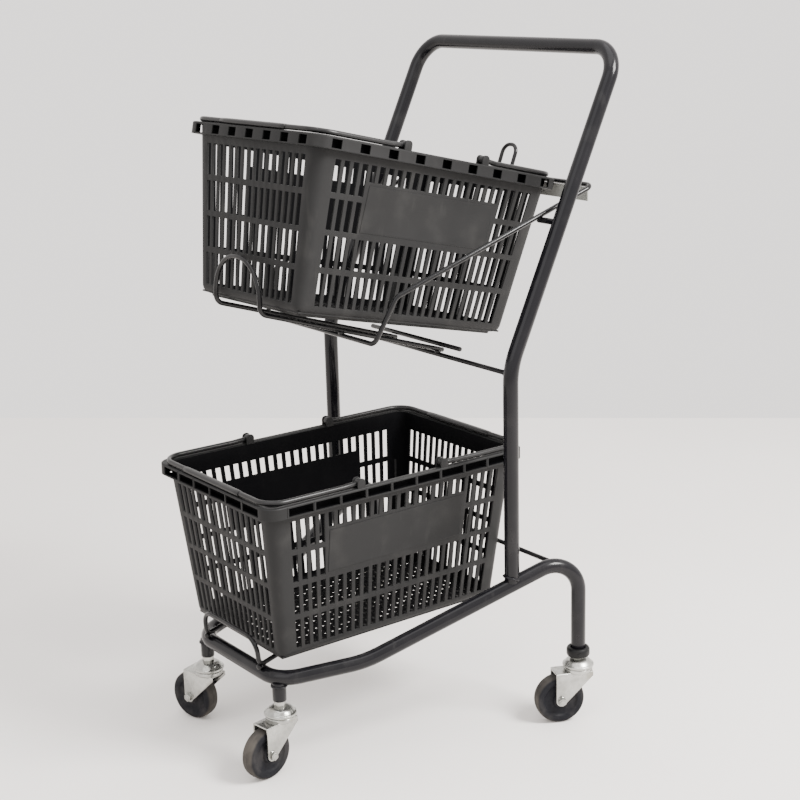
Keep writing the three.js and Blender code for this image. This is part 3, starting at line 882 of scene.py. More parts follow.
# ---------------------------------------------------------------- frame
@dataclass
class TubeFrame:
    """The bent base tube, the push handle, the stubs, the pegs and the collars on the rear legs."""

    shop: Workshop

    def build(self) -> None:
        """Models every piece of the frame."""
        self.base()
        self.handle()
        self.stubs()
        self.collars()
        self.pegs()
        self.welds()

    def base(self) -> None:
        """One tube: down a rear leg, along a side rail, across the front and back."""
        f = FRAME

        def half(side: int) -> list[Vector]:
            return [
                Vector((f.rear_x, side * f.rail_y(f.rear_x), f.leg_bottom)),
                Vector((f.rear_x, side * f.rail_y(f.rear_x), f.rear_z)),
                Vector((f.kink_x, side * f.rail_y(f.kink_x), f.kink_z)),
                Vector((f.front_x, side * f.front_y, f.front_z)),
            ]

        corners = [*half(1), *reversed(half(-1))]
        tube = bent_tube("base_tube_v", corners, [44, 160, 46, 46, 160, 44], f.tube, 36, 14)
        self.shop.hand_over(tube, FRAME_PAINT, "frame", ["base_tube"])

    def handle(self) -> None:
        """Two uprights from the rails that lean back and join in one grip bar."""
        f = FRAME

        def side(s: int) -> list[Vector]:
            return [
                Vector((f.upright_x, s * f.upright_y, f.rail_z(f.upright_x) + 4)),
                Vector((f.upright_x, s * f.upright_y, f.bend_z)),
                Vector((f.top_x, s * f.upright_y, f.top_z)),
            ]

        corners = [*side(1), *reversed(side(-1))]
        tube = bent_tube("handle_tube_v", corners, [110, 46, 46, 110], f.tube, 36, 16)
        self.shop.hand_over(tube, FRAME_PAINT, "frame", ["handle_tube"])

    def stubs(self) -> None:
        """Short tubes under the front corners, for the front casters."""
        for s, side in zip(SIDES, ("left", "right")):
            low = Vector((FRAME.stub_x, s * FRAME.stub_y, FRAME.stub_bottom))
            piece = rod(f"front_{side}_stub_v", low, low + Vector((0, 0, 28)), 20, 32)
            self.shop.hand_over(piece, FRAME_PAINT, "frame", [f"front_{side}_stub"])

    def collars(self) -> None:
        """Cupped plastic collars on the rear legs, each with a small screw."""
        for s, side in zip(SIDES, ("left", "right")):
            profile = [
                (11.3, 104), (16.4, 104), (17.5, 106.5), (17.5, 114), (16.0, 117), (13.2, 117.6), (11.3, 117),
            ]
            cup = turned("cup", profile, 40, closed=True)
            head = cylinder("head", 20, 2.4, 2.2)
            facing = Vector((0.6, s * 0.8, 0)).normalized()
            put(head, Matrix.Translation(facing * 17.6 * MM + spot(0, 0, 110)) @ aim(facing))
            bevel(head, 0.5)
            ring = join(f"rear_{side}_leg_collar_v", [cup, head])
            where = Matrix.Translation((FRAME.rear_x, s * FRAME.rail_y(FRAME.rear_x), 0))
            self.shop.hand_over(ring, COLLAR_PLASTIC, "frame", [f"rear_{side}_leg_collar"], where)

    def pegs(self) -> None:
        """Round pegs inside the leaning uprights, which the side wire rests on."""
        for s, side in zip(SIDES, ("left", "right")):
            lo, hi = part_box(f"{side}_upright_peg")
            middle = (lo + hi) / (2 * MM) - SHIFT / MM
            half = (hi.y - lo.y) / (2 * MM)
            ends = [middle + Vector((0, d * half, 0)) for d in SIDES]
            piece = rod(f"{side}_upright_peg_v", ends[0], ends[1], 9, 20, 1.4)
            self.shop.hand_over(piece, FRAME_PAINT, "frame", [f"{side}_upright_peg"])

    def welds(self) -> None:
        """Painted-over weld beads at the feet of the uprights, the stubs and the wire ends."""
        f, c = FRAME, CARRIER
        up = Vector((0, 0, 1))
        across = Vector((0, 1, 0))
        slope = Vector((-0.36, 0, 1)).normalized()
        beads = []
        for s in SIDES:
            foot = Vector((f.upright_x, s * (f.upright_y - 0.5), f.rail_z(f.upright_x) + 10.5))
            beads.append(bead("weld", foot, slope, f.tube / 2 + 0.2, 2.3, 3 + s))
            beads.append(bead("weld", Vector((f.stub_x, s * f.stub_y, 130.5)), up, 10.2, 2.0, 7 + s))
            rear = Vector((c.rear_x, s * (f.rail_y(c.rear_x) - 12.5), c.rear_z))
            beads.append(bead("weld", rear, across, 3.7, 1.6, 11 + s))
            cross = Vector((f.upright_x, s * (f.upright_y - 11.3), c.cross_z))
            beads.append(bead("weld", cross, across, 3.7, 1.6, 15 + s))
        welds = join("frame_welds_v", beads)
        self.shop.hand_over(welds, FRAME_PAINT, "frame", [], angle=80.0)


# ---------------------------------------------------------------- carriers
@dataclass
class Carriers:
    """The bent wires that the two baskets sit on."""

    shop: Workshop

    def build(self) -> None:
        """Models the upper and the lower carrier."""
        self.upper()
        self.lower()
        self.welds()

    def wire(self, name: str, corners: Sequence[Vector], radii: Sequence[float], diameter: float = FRAME.wire) -> None:
        """One bent wire that stands for the CAD node of that name."""
        piece = bent_tube(f"{name}_v", corners, radii, diameter, 18, 8, 0.7)
        self.shop.hand_over(piece, WIRE_PAINT, "frame", [name])

    def upper(self) -> None:
        """Runners with a round arch, the side wire, two cross wires, the rear loop and the strip."""

        c = CARRIER

        def runner(s: int) -> list[Vector]:
            places = [(-200, 554.5), (c.foot_x, c.foot_z), (c.arch_x, c.arch_z)]
            return [Vector((x, s * c.upper_y, z)) for x, z in places]

        def side(s: int) -> list[Vector]:
            return [
                Vector((TIP_X, s * 0.3, c.tip_z)),
                Vector((TIP_X, s * 197, c.tip_z)),
                Vector((-45, s * 151, 671)),
                Vector((-17, s * 135, 606)),
            ]

        self.wire("upper_carrier_runners", [*runner(1), *reversed(runner(-1))], [14, 55, 55, 14])
        self.wire("upper_carrier_side_wire", [*side(1), *reversed(side(-1))], [12, 16, 12, 12, 16, 12])
        cross = [Vector((FRAME.upright_x, y, c.cross_z)) for y in (-209.7, 209.7)]
        self.wire("upper_carrier_cross_wire", cross, [])
        self.wire("upper_carrier_rest_wire", [Vector((-192, y, 565.4)) for y in (-108, 108)], [])
        y = c.loop_y
        loop = [(0, y, 798.8), (-16, y, 838), (-16, -y, 838), (0, -y, 798.8)]
        points = [Vector((TIP_X + x, y, z)) for x, y, z in loop]
        self.wire("upper_carrier_rear_loop", points, [13.5, 13.5], 6)
        strip = box("upper_carrier_strip_v", Vector((2, 372, 20)), Vector((TIP_X, 0, 781)))
        with editing(strip):
            pick_faces(strip, lambda face: abs(face.normal.x) > 0.9)
            bpy.ops.mesh.inset(thickness=2.5 * MM, depth=-0.4 * MM)
        bevel(strip, 0.35)
        self.shop.hand_over(strip, STRIP_PLASTIC, "frame", ["upper_carrier_strip"])

    def lower(self) -> None:
        """Runners with a low wide arch in front, turned up behind to the rear wire."""
        c = CARRIER

        def runner(s: int) -> list[Vector]:
            places = [(-256, 243.7), (-256, c.lower_z), (117, c.lower_z), (156, 155.8), (160, 196)]
            return [Vector((x, s * c.lower_y, z)) for x, z in places]

        radii = [14, 60, 8, 24, 24, 8, 60, 14]
        self.wire("lower_carrier_runners", [*runner(1), *reversed(runner(-1))], radii)
        reach = FRAME.rail_y(c.rear_x) - 9.5
        ends = [Vector((c.rear_x, s * reach, c.rear_z)) for s in SIDES]
        self.wire("lower_carrier_rear_wire", ends, [])

    def welds(self) -> None:
        """Small drops of weld where wires cross."""
        round_drop = Vector((4.6, 5.2, 4.0))
        drops = []
        for s in SIDES:
            places = [
                (FRAME.upright_x, s * CARRIER.upper_y, 554.0),
                (156, s * CARRIER.lower_y, 153.4),
                (-259, s * CARRIER.lower_y, 247.4),
                (TIP_X, s * CARRIER.loop_y, 797.6),
                (-17, s * CARRIER.upper_y, 610.0),
            ]
            drops += [blob("drop", Vector(at), round_drop, 21 + i) for i, at in enumerate(places)]
        self.shop.hand_over(join("wire_welds_v", drops), WIRE_PAINT, "frame", [], angle=80.0)


# ---------------------------------------------------------------- casters
@dataclass(frozen=True)
class CasterPlace:
    """Where a caster stands, the height of what it hangs from and its heading in degrees."""

    name: str
    x: float
    y: float
    top: float
    heading: float

    @property
    def matrix(self) -> Matrix:
        """Matrix from the caster's own frame to the design frame."""
        return Matrix.Translation((self.x, self.y, 0)) @ Matrix.Rotation(math.radians(self.heading), 4, "Z")


@dataclass
class Casters:
    """Four swivel casters: stem and race, fork, wheel and axle bolt, each modelled once and copied."""

    shop: Workshop

    def build(self) -> None:
        """Models the parts and sets four of each in place."""
        f = FRAME
        rear = f.rail_y(f.rear_x)
        places = [
            CasterPlace("front_left", f.stub_x, f.stub_y, f.stub_bottom, 8),
            CasterPlace("front_right", f.stub_x, -f.stub_y, f.stub_bottom, -72),
            CasterPlace("rear_left", f.rear_x, rear, f.leg_bottom, -25),
            CasterPlace("rear_right", f.rear_x, -rear, f.leg_bottom, 25),
        ]
        fork, wheel, axle = self.fork(), self.wheel(), self.axle()
        for place in places:
            self.set_in_place(place, fork, wheel, axle)
        for pattern in (fork, wheel, axle):
            bpy.data.objects.remove(pattern)

    def set_in_place(
        self, place: CasterPlace, fork: bpy.types.Object, wheel: bpy.types.Object, axle: bpy.types.Object
    ) -> None:
        """Copies the parts of one caster to where it stands."""
        name = place.name
        hand_over = self.shop.hand_over
        hand_over(self.stem(name, place.top), ZINC_STEEL, "frame", [f"{name}_caster_stem"], place.matrix)
        copy = twin(fork, f"{name}_caster_fork_v")
        hand_over(copy, ZINC_STEEL, f"{name}_caster", [f"{name}_caster_fork"], place.matrix)
        copy = twin(axle, f"{name}_caster_axle_v")
        hand_over(copy, ZINC_STEEL, f"{name}_caster", [f"{name}_caster_axle"], place.matrix)
        copy = twin(wheel, f"{name}_caster_wheel_v")
        hub = place.matrix @ Vector((CASTER.trail, 0, CASTER.wheel_r))
        rubber = WheelFinish(
            f"tyre_{name}", "tyre", rgb(0.0045, 0.0047, 0.0068), rgb(0.0080, 0.0083, 0.0110),
            dust=rgb(0.075, 0.067, 0.058), roughness=0.6, specular=0.16,
            middle=tuple(hub * MM + SHIFT), angle=math.radians(place.heading),
        )
        hand_over(copy, rubber, f"{name}_wheel", [f"{name}_caster_wheel"], place.matrix)

    def stem(self, name: str, top: float) -> bpy.types.Object:
        """Domed race with a rolled lip, and the nut that holds it to the frame."""
        profile = [
            (19.5, 87.4), (22.4, 87.0), (23.6, 88.6), (23.3, 90.6), (21.6, 91.6),
            (20.4, 92.4), (18.6, 95.2), (15.8, 97.4), (12.0, 98.8), (9.0, 99.0),
        ]
        race = turned("race", profile, 44, soften=0.25)
        foot = 98.4
        depth = top - 0.3 - foot
        nut = cylinder("nut", 6, 9, depth)
        put(nut, Matrix.Translation(spot(0, 0, foot + depth / 2)))
        bevel(nut, 0.7)
        return join(f"{name}_caster_stem_v", [race, nut])

    def cheek(self, s: int) -> bpy.types.Object:
        """One side of the fork: a plate cut to a rounded triangle round the axle."""
        c = CASTER
        outline = [(c.fork_rear, 80.6), (c.fork_rear, c.plate_bottom - 5)]
        for step in range(10):
            turn = math.pi * (1.12 + 0.88 * step / 9)
            outline.append((c.trail + c.eye_r * math.cos(turn), c.wheel_r + c.eye_r * math.sin(turn)))
        outline += [(c.fork_front, 62.0), (c.fork_front, 80.6)]
        adder = bpy.ops.mesh.primitive_circle_add
        plate = start("cheek", adder, vertices=len(outline), radius=1.0, fill_type="NGON")
        with editing(plate) as mesh:
            ring = sorted(mesh.verts, key=lambda v: math.atan2(v.co.y, v.co.x))
            for vert, (x, z) in zip(ring, outline):
                vert.co = spot(x, s * (c.fork_inner + c.sheet / 2), z)
            bpy.ops.mesh.normals_make_consistent(inside=False)
        modify(plate, "SOLIDIFY", thickness=c.sheet * MM, offset=0.0)
        bevel(plate, 0.5, 2)
        return plate

    def fork(self) -> bpy.types.Object:
        """Lower race dish, folded plate and two cheeks."""
        c = CASTER
        profile = [(17.5, 79.0), (20.4, 79.0), (21.5, 80.6), (21.7, 84.6), (20.6, 86.2), (18.6, 86.4)]
        dish = turned("dish", profile, 44)
        length = c.fork_front - c.fork_rear
        fold = box(
            "fold",
            Vector((length, 2 * (c.fork_inner + c.sheet), c.sheet)),
            Vector(((c.fork_front + c.fork_rear) / 2, 0, c.plate_bottom + c.sheet / 2)),
        )
        top = (c.plate_bottom + c.sheet) * MM - 1e-5
        half = length * MM / 2
        round_edges(fold, 2.2, 4, lambda a, z: min(a.z, z.z) > top and abs(a.x - z.x) > half)
        bevel(fold, 0.35, 1)
        rivet = turned("rivet", [(4.2, 78.4), (5.6, 78.4), (5.6, 79.4), (4.4, 79.6)], 24)
        return join("fork", [dish, fold, rivet, self.cheek(1), self.cheek(-1)])

    def wheel(self) -> bpy.types.Object:
        """Rubber-tyred wheel with a stepped hub and a mould line round the tread."""
        half = [
            (4.5, 12.0), (8.6, 12.0), (11.0, 11.4), (12.4, 8.0), (14.0, 7.5), (22.6, 7.5),
            (24.6, 8.2), (26.4, 10.3), (29.0, 10.8), (32.4, 11.0), (35.0, 10.2), (36.7, 8.2),
            (37.4, 5.0), (37.45, 1.0), (37.7, 0.5),
        ]
        profile = [*half, *[(r, -y) for r, y in reversed(half)]]
        piece = turned("wheel", profile, 56, closed=True, soften=0.0)
        turn = Matrix.Rotation(-math.pi / 2, 4, "X")
        return put(piece, Matrix.Translation(spot(CASTER.trail, 0, CASTER.wheel_r)) @ turn)

    def axle(self) -> bpy.types.Object:
        """Axle bolt: shank, hexagon head, nut and washers beside the hub."""
        c = CASTER
        outer = c.fork_inner + c.sheet + 0.3
        parts = [rod("shank", Vector((0, 0, -outer - 5)), Vector((0, 0, outer + 5.2)), 8, 24, 0.9)]
        for s in SIDES:
            head = cylinder("hex", 6, c.head_across / 2, 4.2)
            put(head, Matrix.Translation(spot(0, 0, s * (outer + 2.2))))
            bevel(head, 0.6, 2)
            washer = cylinder("washer", 28, 7.4, 0.8)
            put(washer, Matrix.Translation(spot(0, 0, s * (outer + 0.1))))
            bevel(washer, 0.2, 1)
            parts += [head, washer]
        piece = join("axle", parts)
        turn = Matrix.Rotation(-math.pi / 2, 4, "X")
        return put(piece, Matrix.Translation(spot(c.trail, 0, c.wheel_r)) @ turn)


# ---------------------------------------------------------------- baskets
class Wall(Enum):
    """Which stretch of a basket's outline a station is on."""

    SHORT = "short"
    LONG = "long"
    CORNER = "corner"


@dataclass(frozen=True)
class Station:
    """A place on a basket's outline: along a wall from -1 to 1, or round a corner from 0 to 1."""

    wall: Wall
    sx: int
    sy: int
    along: float


@dataclass(frozen=True)
class Outline:
    """A rounded rectangle and the spans that the wall stations spread over."""

    x: float
    y: float
    r: float
    span_x: float
    span_y: float

    def at(self, station: Station) -> tuple[float, float]:
        """Where a station is on this outline."""
        if station.wall is Wall.SHORT:
            return station.sx * self.x, station.along * self.span_y
        if station.wall is Wall.LONG:
            return station.along * self.span_x, station.sy * self.y
        turn = station.along * math.pi / 2
        return (
            station.sx * (self.x - self.r + self.r * math.cos(turn)),
            station.sy * (self.y - self.r + self.r * math.sin(turn)),
        )


def walk_round(long_marks: Sequence[float], short_marks: Sequence[float], corner_steps: int = 7) -> list[Station]:
    """Stations anticlockwise round a basket, from the front corner on the right.

    Args:
        long_marks: rising marks along each long wall, from -1 to 1.
        short_marks: the same for the short walls.
        corner_steps: stations on each corner.

    Returns:
        The stations.
    """
    arc = [step / (corner_steps - 1) for step in range(corner_steps)]
    stations = [Station(Wall.SHORT, 1, 0, mark) for mark in short_marks]
    stations += [Station(Wall.CORNER, 1, 1, part) for part in arc]
    stations += [Station(Wall.LONG, 0, 1, mark) for mark in reversed(long_marks)]
    stations += [Station(Wall.CORNER, -1, 1, part) for part in reversed(arc)]
    stations += [Station(Wall.SHORT, -1, 0, mark) for mark in reversed(short_marks)]
    stations += [Station(Wall.CORNER, -1, -1, part) for part in arc]
    stations += [Station(Wall.LONG, 0, -1, mark) for mark in long_marks]
    stations += [Station(Wall.CORNER, 1, -1, part) for part in reversed(arc)]
    return stations


def shell(
    name: str,
    stations: Sequence[Station],
    rows: int,
    place: Callable[[Station, int], Vector],
    opening: Callable[[Station, Station, int], bool],
) -> bpy.types.Object:
    """A sheet round a basket: one ring extruded row by row, with openings cut before it is shaped.

    Args:
        name: name of the new piece.
        stations: one per column.
        rows: number of rings.
        place: where a station of a row goes, in millimetres.
        opening: true where the face between two stations above a row is left out.

    Returns:
        The new object.
    """
    count = len(stations)
    piece = start(name, bpy.ops.mesh.primitive_circle_add, vertices=count, radius=1.0)
    with editing(piece) as mesh:
        offset = min(math.atan2(v.co.y, v.co.x) % math.tau for v in mesh.verts)
        for _ in range(rows - 1):
            bpy.ops.mesh.extrude_region_move(TRANSFORM_OT_translate={"value": (0, 0, 1)})

        def column(co: Vector) -> float:
            return ((math.atan2(co.y, co.x) - offset) % math.tau) * count / math.tau

        def is_open(face: bmesh.types.BMFace) -> bool:
            centre = face.calc_center_median()
            index = int(column(centre)) % count
            return opening(stations[index], stations[(index + 1) % count], int(centre.z))

        pick_faces(piece, is_open)
        bpy.ops.mesh.delete(type="FACE")
        mesh = bmesh.from_edit_mesh(piece.data)
        for vert in mesh.verts:
            station = stations[round(column(vert.co)) % count]
            vert.co = place(station, round(vert.co.z)) * MM
        bmesh.update_edit_mesh(piece.data)
        bpy.ops.mesh.select_all(action="SELECT")
        bpy.ops.mesh.normals_make_consistent(inside=False)
        mesh = bmesh.from_edit_mesh(piece.data)
        facing = sum(face.normal.xy.dot(face.calc_center_median().xy) for face in mesh.faces)
        if facing < 0:
            bpy.ops.mesh.flip_normals()
    return piece


@dataclass
class Basket:
    """A slotted tub with a hanging rim band, pivot lobes, pins and two bail handles."""

    shop: Workshop
    level: str
    window: float                     # width of the windows in the rim band

    ROWS = (
        -3.6, -0.6, 0.0, 2.2, 5.5, 10.0, 13.0, 58.0, 66.0, 109.0, 116.5, 158.5, 166.5, 184.0, 187.0,
        210.0, 221.0, 236.0,
    )
    SLOTS = ((13, 58), (66, 109), (116.5, 158.5), (166.5, 210))      # from and to, above the floor
    LABEL_SLOTS = ((13, 58), (66, 109), (187, 210))                  # the same at the label panel
    LABEL = (118.5, 183.0)                                           # foot and top of the label panel
    RIBBED_FROM = 20.0                                               # window width that needs ribs
    # BAND_MIDDLE and BAND_REACH pick the wall behind the rim windows, which gets painted shade.
    BAND_MIDDLE = 228.5
    BAND_REACH = 6.0                                                 # half height and depth of its inside
    GRID = (61, 37)                                                  # squares of the floor
    FLOOR_GAP = 2.5                                                  # from the wall's outer face
    FOOT = {-3.6: -12.6, -0.6: -12.0, 0.0: -9.0, 2.2: -4.0, 5.5: -1.2}

    @property
    def is_ribbed(self) -> bool:
        """Whether the band's windows are wide, with ribs between them."""
        return self.window > self.RIBBED_FROM

    def outline(self, h: float) -> Outline:
        """The wall's outer outline at a height above the floor."""
        b = BASKET
        t = h / b.wall_h
        top_x = b.rim_l / 2 - b.overhang
        top_y = b.rim_w / 2 - b.overhang
        grow = self.FOOT.get(h, 0.0)
        return Outline(
            b.base_l / 2 + (top_x - b.base_l / 2) * t + grow,
            b.base_w / 2 + (top_y - b.base_w / 2) * t + grow,
            max(b.base_r + (b.rim_r - 4.0 - b.base_r) * t + grow, 4.0),
            b.slotted_l + b.slotted_l_gain * t,
            b.slotted_w + b.slotted_w_gain * t,
        )

    def slot_marks(self, count: int) -> list[float]:
        """Both edges of every slot along a wall, from -1 to 1."""
        share = BASKET.slot_share
        marks = []
        for index in range(count):
            for edge in (0.5 - share / 2, 0.5 + share / 2):
                marks.append(-1 + 2 * (index + edge) / count)
        return marks

    def is_slot(self, a: Station, b: Station, row: int) -> bool:
        """Whether the face between two stations above a row is part of a slot."""
        if a.wall is Wall.CORNER or b.wall is not a.wall:
            return False
        count = BASKET.long_slots if a.wall is Wall.LONG else BASKET.short_slots
        middle = ((a.along + b.along) / 2 + 1) / 2 * count
        if abs(middle % 1 - 0.5) > 0.1:
            return False
        low, high = self.ROWS[row], self.ROWS[row + 1]
        beside = BASKET.label_slots
        on_label = a.wall is Wall.LONG and beside <= int(middle) < count - beside
        spans = self.LABEL_SLOTS if on_label else self.SLOTS
        return any(low >= start_h and high <= end_h for start_h, end_h in spans)

    def paint_inside_shade(self, tub: bpy.types.Object, stand: Stand) -> None:
        """Paints shade inside the basket: faces that look inwards, the top of the floor and the wall behind the band's
        windows get a near-black, duller copy of the plastic in place of the shade there.
        """
        tub.data.materials.append(self.shop.material(PAINTED_SHADE_PLASTIC))
        back = (Matrix.Translation(SHIFT) @ in_metres(stand.matrix)).inverted()
        turn = back.to_3x3()
        reach_x, reach_y = BASKET.rim_l / 2 * MM, BASKET.rim_w / 2 * MM
        for face in tub.data.polygons:
            centre = back @ face.center
            normal = turn @ face.normal
            on_long = abs(centre.y) / reach_y > abs(centre.x) / reach_x
            place, slant, reach = (
                (centre.y, normal.y, reach_y) if on_long else (centre.x, normal.x, reach_x)
            )
            inward = -slant * math.copysign(1, place)
            in_band = abs(centre.z - self.BAND_MIDDLE * MM) < self.BAND_REACH * MM
            is_deep = reach - abs(place) > self.BAND_REACH * MM
            below_rim = centre.z < (BASKET.top - 4) * MM
            looks_in = inward > 0.25 or (centre.z < 6 * MM and normal.z > 0.7)
            # The faces picked here get the painted-shade material.
            face.material_index = int(below_rim and (looks_in or (in_band and is_deep)))

    def tub(self) -> bpy.types.Object:
        """The slotted wall."""
        stations = walk_round(self.slot_marks(BASKET.long_slots), self.slot_marks(BASKET.short_slots))

        def place(station: Station, row: int) -> Vector:
            h = self.ROWS[row]
            return Vector((*self.outline(h).at(station), h))

        wall = shell("wall", stations, len(self.ROWS), place, self.is_slot)
        modify(wall, "SOLIDIFY", thickness=BASKET.wall * MM, offset=-1.0, use_even_offset=True)
        bevel(wall, 0.45, 2, 40.0)
        return wall

    def rim(self) -> bpy.types.Object:
        """The hollow band round the rim, with its row of windows."""
        b = BASKET
        half_l, half_w = b.rim_l / 2, b.rim_w / 2
        span_x, span_y = half_l - b.rim_r, half_w - b.rim_r
        if self.is_ribbed:
            long_windows = (-176, -132, -88, -44, 0, 44, 88, 132, 176)
            short_windows = (-107, -64, -21.4, 21.4, 64, 107)
        else:
            long_windows = (-198, -149, -99, -50, 0, 50, 99, 149, 198)
            short_windows = (-119, -79, -40, 0, 40, 79, 119)

        def marks(centres: Sequence[float], span: float) -> list[float]:
            return [(centre + d * self.window / 2) / span for centre in centres for d in (-1, 1)]

        stations = walk_round(marks(long_windows, span_x), marks(short_windows, span_y), 9)
        wall_top = self.outline(236.0)
        inside = (half_l - wall_top.x) + 1.2
        section = [
            (inside, 236.6), (4.0, 238.0), (1.2, 237.6), (0.0, 236.4), (0.0, 234.6), (0.0, 222.6), (0.0, 220.8),
            (b.overhang - 0.2, 220.8),
        ]

        def place(station: Station, row: int) -> Vector:
            inset, h = section[row]
            outline = Outline(half_l - inset, half_w - inset, b.rim_r - inset, span_x, span_y)
            return Vector((*outline.at(station), h))

        def window(a: Station, c: Station, row: int) -> bool:
            if row != 4 or a.wall is Wall.CORNER or a.wall is not c.wall:
                return False
            windows, span = (long_windows, span_x) if a.wall is Wall.LONG else (short_windows, span_y)
            centre = (a.along + c.along) / 2 * span
            return any(abs(centre - at) < 1.0 for at in windows)

        band = shell("band", stations, len(section), place, window)
        modify(band, "SOLIDIFY", thickness=2.0 * MM, offset=-1.0, use_even_offset=True)
        bevel(band, 0.35, 2, 40.0)
        return band

    def ribs(self) -> list[bpy.types.Object]:
        """Thin upright ribs on the band, between the windows."""
        b = BASKET
        places = []
        for s in SIDES:
            places += [(x, s * b.rim_w / 2, 0.0) for x in range(-198, 199, 44)]
            places += [(s * b.rim_l / 2, y, 90.0) for y in range(-88, 89, 44)]
        made = []
        for x, y, turn in places:
            rib = box("rib", Vector((1.2, 1.0, 15.4)), Vector((0, 0, 0)), 0.25)
            heading = Matrix.Rotation(math.radians(turn), 4, "Z")
            made.append(put(rib, Matrix.Translation(spot(x, y, 228.8)) @ heading))
        return made

    def floor(self) -> bpy.types.Object:
        """The floor: a grid with every other square left out."""
        across, along = self.GRID
        adder = bpy.ops.mesh.primitive_grid_add
        piece = start("floor", adder, x_subdivisions=across, y_subdivisions=along, size=1.0)
        base = self.outline(5.5)
        half_x, half_y = (base.x - self.FLOOR_GAP) * MM, (base.y - self.FLOOR_GAP) * MM
        stretch = Matrix.Diagonal((2 * half_x, 2 * half_y, 1, 1))
        put(piece, Matrix.Translation(spot(0, 0, 3.4)) @ stretch)

        def is_hole(face: bmesh.types.BMFace) -> bool:
            centre = face.calc_center_median()
            i = int((centre.x + half_x) / (2 * half_x / across))
            j = int((centre.y + half_y) / (2 * half_y / along))
            return i % 2 == 1 and j % 2 == 1

        with editing(piece):
            pick_faces(piece, is_hole)
            bpy.ops.mesh.delete(type="FACE")
        modify(piece, "SOLIDIFY", thickness=2.4 * MM, offset=-1.0)
        return piece

    def labels(self) -> list[bpy.types.Object]:
        """Blank raised label panels on both long walls, each with a sunk middle."""
        b = BASKET
        made = []
        low, high = self.LABEL
        middle = (low + high) / 2
        wide = 2 * self.outline(middle).span_x * (1 - 2 * b.label_slots / b.long_slots) - 6
        lean = math.atan((b.rim_w / 2 - b.overhang - b.base_w / 2) / b.wall_h)
        for s in SIDES:
            panel = box("panel", Vector((wide, 1.6, high - low)), Vector((0, 0, 0)))
            with editing(panel):
                pick_faces(panel, lambda face, s=s: face.normal.y * s > 0.9)
                bpy.ops.mesh.inset(thickness=2.6 * MM, depth=-0.5 * MM)
            bevel(panel, 0.3, 2)
            turn = Matrix.Rotation(-s * lean, 4, "X")
            spot_on_wall = spot(0, s * (self.outline(middle).y - 0.1), middle)
            made.append(put(panel, Matrix.Translation(spot_on_wall) @ turn))
        return made

    def lobes(self) -> list[bpy.types.Object]:
        """Pairs of rounded lobes on the rim that hold the bail pivots."""
        b = BASKET
        made = []
        for along in SIDES:
            for across in SIDES:
                for apart in (5.7, -5.7):
                    lobe = box("lobe", Vector((13, b.wall, 15)), Vector((0, 0, 0)))
                    round_edges(lobe, 5.4, 6, lambda a, z: min(a.z, z.z) > 0 and abs(a.y - z.y) > MM)
                    bevel(lobe, 0.4, 2)
                    y = across * (b.rim_w / 2 - b.bail_drop + apart)
                    made.append(put(lobe, Matrix.Translation(spot(along * b.pivot_x, y, b.top + 5.5))))
        return made

    def pins(self) -> list[bpy.types.Object]:
        """The four pivot pins between the lobes."""
        b = BASKET
        z = b.top + 6.6
        made = []
        for along in SIDES:
            for across in SIDES:
                y = across * (b.rim_w / 2 - b.bail_drop)
                ends = [Vector((along * b.pivot_x, y + d * 4.3, z)) for d in SIDES]
                made.append(rod("pin", ends[0], ends[1], 5.6, 20, 0.3))
        return made

    def bail(self) -> bpy.types.Object:
        """The front bail: two arms and a cross bar with a wider grip, and an eye at each end."""
        b = BASKET
        z = b.top + b.bail_wire / 2 + 0.6
        eye_z = b.top + 6.6
        reach = b.rim_l / 2 - 6
        y = b.rim_w / 2 - b.bail_drop

        def arm(s: int) -> list[Vector]:
            return [
                Vector((b.pivot_x + 5.2, s * y, eye_z - 0.9)),
                Vector((b.pivot_x + 26, s * y, z)),
                Vector((reach, s * y, z)),
            ]

        wire = bent_tube("bail", [*arm(1), *reversed(arm(-1))], [40, 30, 30, 40], b.bail_wire, 20, 10)
        grip = turned("grip", [(3.9, -74), (4.15, -62), (4.2, -54), (4.2, 54), (4.15, 62), (3.9, 74)], 28)
        turn = Matrix.Rotation(-math.pi / 2, 4, "X")
        put(grip, Matrix.Translation(spot(reach, 0, z)) @ turn)
        with editing(grip):
            bpy.ops.transform.resize(value=(1.32, 1.0, 1.0), center_override=spot(reach, 0, z))
        parts = [wire, grip]
        profile = [(3.3, -3.6), (5.5, -3.6), (5.8, -3.2), (5.8, 3.2), (5.5, 3.6), (3.3, 3.6)]
        for s in SIDES:
            ring = turned("eye", profile, 28, True, 0.2)
            parts.append(put(ring, Matrix.Translation(spot(b.pivot_x, s * y, eye_z)) @ turn))
        return join("bail", parts)

    def build(self) -> None:
        """Models the basket and its bails and sets them in place."""
        stand = STANDS[self.level]
        body = f"{self.level}_basket"
        hand_over = self.shop.hand_over
        ribs = self.ribs() if self.is_ribbed else []
        shells = [self.tub(), self.rim(), self.floor()]
        tub = join(f"{body}_tub_v", [*shells, *ribs, *self.labels(), *self.lobes()])
        hand_over(tub, BASKET_PLASTIC, body, [f"{body}_tub"], stand.matrix, 30.0)
        # Painted shade on the inside of the tub and behind the rim windows.
        self.paint_inside_shade(tub, stand)
        names = [f"{body}_{end}_{side}_pin" for end in ("front", "rear") for side in ("left", "right")]
        hand_over(join(f"{body}_pins_v", self.pins()), BAIL_PLASTIC, body, names, stand.matrix)
        bail = self.bail()
        for end in Ends:
            word = end.name.lower()
            facing = Matrix.Rotation(0.0 if end is Ends.FRONT else math.pi, 4, "Z")
            piece = twin(bail, f"{body}_{word}_bail_v")
            hand_over(piece, BAIL_PLASTIC, f"{self.level}_{word}_bail", [f"{body}_{word}_bail"], stand.matrix @ facing)
        bpy.data.objects.remove(bail)


